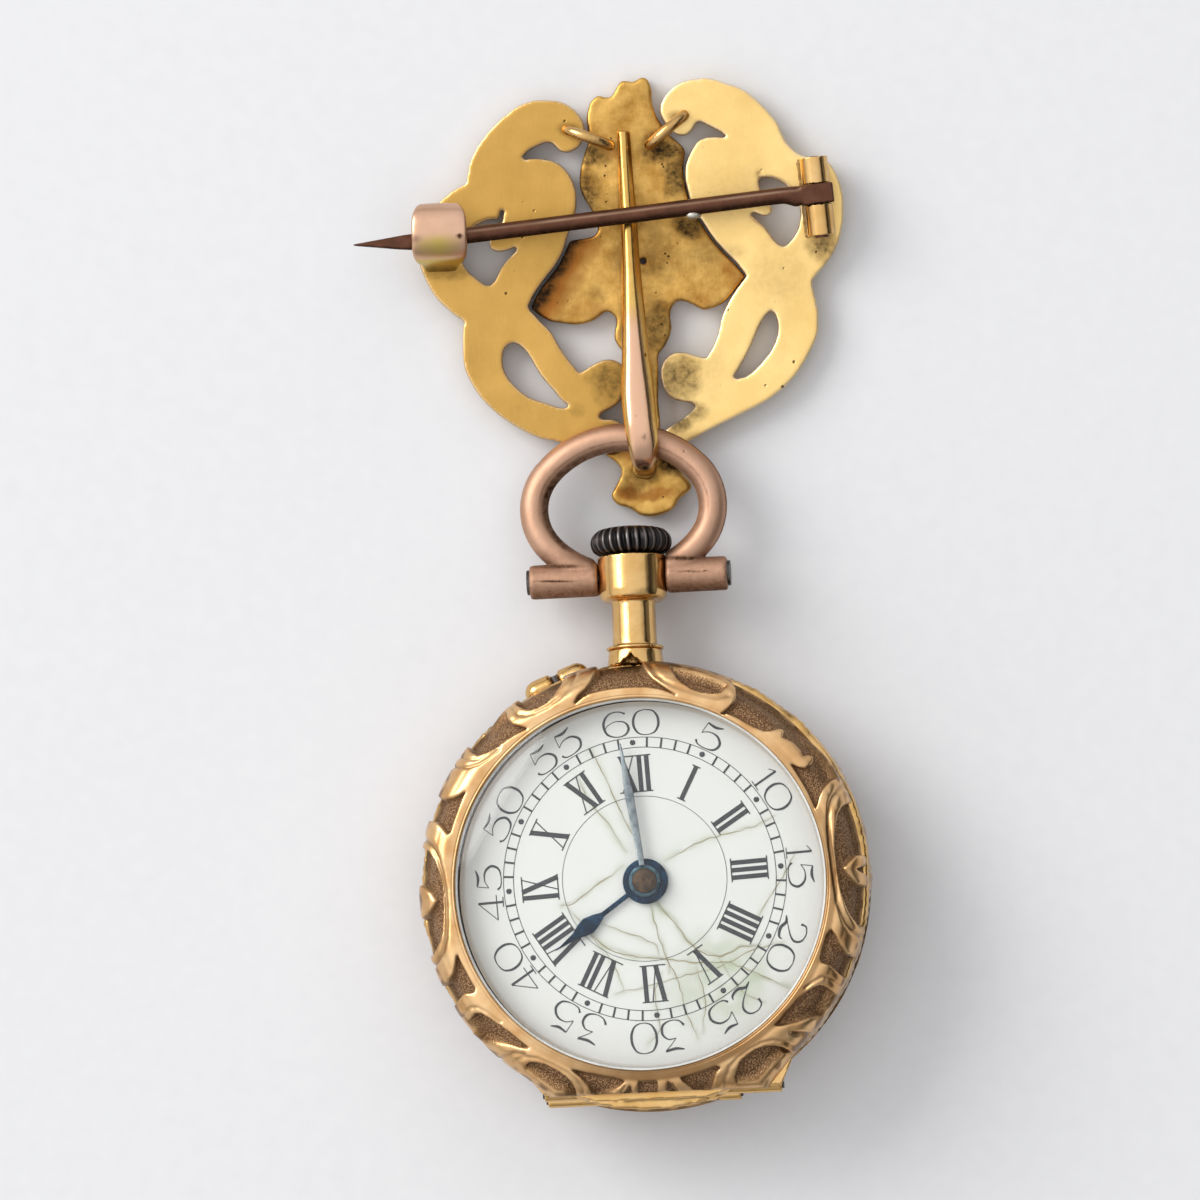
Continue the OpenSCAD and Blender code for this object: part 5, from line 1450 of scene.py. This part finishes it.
for fifth in range(1, 13):
    angle = math.radians(fifth * 30)
    digits = str(fifth * 5)
    tall = FIGURE_TALL + 0.32 * max(-math.cos(angle), 0) ** 2
    at = -sum(advance[digit] for digit in digits) / 2
    for digit in digits:
        for rows, widths in FIGURES[digit]:
            stroke = [(x, y, width) for (x, y), width in zip(rows, widths)]
            curve = smooth_run(stroke) if len(stroke) > 2 else np.array(stroke)
            placed = [
                letter_place(angle, (at + FIGURE_SIDE + x) * FIGURE_TALL, FIGURE_FOOT + y * tall)
                for x, y, _ in curve
            ]
            brush(black_paint, placed, curve[:, 2] * FIGURE_TALL)
        at += advance[digit]

# The dirt in the cracks themselves, as lines a twentieth of a millimetre wide
HAIRLINE = 0.055
crack_dirt = {"points": [], "faces": []}
for number, (rows, _, strength) in enumerate(CRACKS):
    curve = smooth_run(rows, 14)
    x, y = turned(curve[:, 0], curve[:, 1], -VIEW_TURN)
    run = np.stack([x, y, np.full(len(x), number * 3.0)], axis=-1)
    wavy = np.stack([x + 0.1 * mottle(run, 0.5, 21), y + 0.1 * mottle(run, 0.5, 22)], axis=-1)
    ends = np.clip(np.minimum(np.arange(len(x)), np.arange(len(x))[::-1]) / 10, 0.15, 1)
    thin = np.clip(0.8 + 0.7 * mottle(run, 0.9, 23), 0.2, 1.4)
    brush(crack_dirt, wavy, HAIRLINE * (0.55 + strength) * ends * thin)
hairlines = lay_paint("dial_hairlines", crack_dirt, INK_RISE / 2)
figures = lay_paint("dial_figures", black_paint, INK_RISE)
# Fired paint is glossy black, thinned to grey in patches. The dirt is brown and green.
FIRED_LINES = (
    (hairlines, "dirt_in_hairline_cracks", 0.5, "#80603C", "#9C9C72", 0.3),
    (figures, "black_enamel_paint", 5.0, "#141517", "#3C3D3E", 0.35),
)
for coat, name, scale, dark, light, roughness in FIRED_LINES:
    paint, tree = new_finish(name)
    patchy = add_node(tree, "TexNoise", {"Vector": millimetres(tree), "Scale": scale, "Detail": 3.0})
    tone = add_node(
        tree, "Mix", {0: patchy.outputs["Fac"], 6: linear(dark), 7: linear(light)}, data_type="RGBA"
    )
    shader = add_node(tree, "BsdfPrincipled", {"Base Color": tone.outputs[2], "Roughness": roughness})
    add_node(tree, "OutputMaterial", {"Surface": shader.outputs[0]})
    wear(coat, paint)

# The hands are cut from thin steel sheet. The hour hand and both hubs are blued by heat, and
# the minute hand has worn to grey.
# Blued steel is nearly black until it catches the light. Worn steel is an even grey.
blued_steel = steel(
    "heat_blued_steel", light="#1F3A52", shade="#0E1824", satin=0.25, blotch_mm=0.5, metallic=1.0,
    bumpy=0.2,
)
grey_steel = steel(
    "worn_grey_steel", light="#8A9092", shade="#636C70", satin=0.4, blotch_mm=0.5, metallic=1.0,
    bumpy=0.2,
)


def sheet_hand(node, name, material):
    """A hand with the small round edges that polishing leaves."""
    piece = cad_copy(node, name)
    mend(piece, MERGE_MM)
    bpy.ops.object.mode_set(mode="EDIT")
    bpy.ops.mesh.tris_convert_to_quads()
    bpy.ops.object.mode_set(mode="OBJECT")
    work_over(piece, "edge", "BEVEL", width=0.03 * MM, segments=2, angle_limit=math.radians(50))
    bpy.ops.object.shade_smooth_by_angle(angle=math.radians(35))
    stand_for(piece, node)
    wear(piece, material)
    return piece


sheet_hand("hour_hand", "hour_hand_blued", blued_steel)
minute_hand = sheet_hand("minute_hand", "minute_hand_grey", grey_steel)
# Its hub has kept its blue, worn and dark
HUB_R = 1.25
minute_hand.data.materials.append(steel(
    "worn_dark_hub_steel", light="#4F6A74", shade="#243138", satin=0.3, blotch_mm=0.5,
    metallic=1.0, bumpy=0.3,
))
for face in minute_hand.data.polygons:
    x, y, _ = in_watch(np.array(face.center) / MM)
    if math.hypot(x - HANDS_AT[0], y - HANDS_AT[1]) < HUB_R:
        face.material_index = 1
# Rust gives the post a dull earthy brown
rusted_post = steel(
    "rusted_centre_post", light="#5E4830", shade="#2A2018", satin=0.45, blotch_mm=0.3,
    metallic=0.8, bumpy=0.6,
)
wear(nodes["centre_post"], rusted_post)
# The post's end has rusted to a low brown boss that hides the hub's hole
post_top = max(in_watch(points_mm(piece))[:, 2].max() for piece in (minute_hand, nodes["centre_post"]))
BOSS_PROFILE = [
    (0.0, 0.06), (0.15, 0.06), (0.3, 0.055), (0.45, 0.04), (0.58, 0.02), (0.68, -0.02), (0.74, -0.08),
    (0.74, -0.2), (0.0, -0.2),
]


def boss_shape(degrees, radius, height):
    """A profile turned about the hands' axis, a little uneven on top."""
    points = about_watch(degrees, radius, post_top + height, HANDS_AT)
    points[:, 2] += 0.03 * mottle(points, 0.3, 29) * (radius < 0.7)
    return points, {}


post_boss = turned_shell("post_boss", BOSS_PROFILE, 72, boss_shape)
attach(post_boss, "minute_hand")
wear(post_boss, rusted_post)

# The glass is a ground and polished dome, snapped into the bezel. It is clear face on and
# glossy at a slant.
glass, tree = new_finish("clear_watch_glass")
clear = add_node(tree, "BsdfTransparent", {"Color": (0.995, 1.0, 1.0, 1)})
gloss = add_node(tree, "BsdfGlossy", {"Roughness": 0.03})
slant = add_node(tree, "LayerWeight", {"Blend": 0.5})
steep = add_node(tree, "Math", {0: slant.outputs["Facing"], 1: 4.0}, operation="POWER")
bounce = add_node(tree, "Math", {0: steep.outputs[0], 1: 0.55, 2: 0.025}, operation="MULTIPLY_ADD")
mixed = add_node(tree, "MixShader", {0: bounce.outputs[0], 1: clear.outputs[0], 2: gloss.outputs[0]})
add_node(tree, "OutputMaterial", {"Surface": mixed.outputs[0]})
wear(nodes["crystal"], glass)

# The glass's edge is ground matte. A pale ring on it stands for the light along the edge, a painted
# highlight that shows as a pale line round the dial
EDGE_PROFILE = [(11.02, 3.36), (11.02, 3.54), (10.98, 3.56), (10.88, 3.46), (10.89, 3.36)]
glass_edge = turned_shell("glass_seat_ring", EDGE_PROFILE, 360, lambda *place: (about_watch(*place), {}))
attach(glass_edge, "front")
wear(glass_edge, steel(
    "glass_edge_painted_highlight", light="#DADBD8", shade="#BFC0BC", satin=0.4, blotch_mm=2.0, metallic=0.0,
    bumpy=0.1,
))
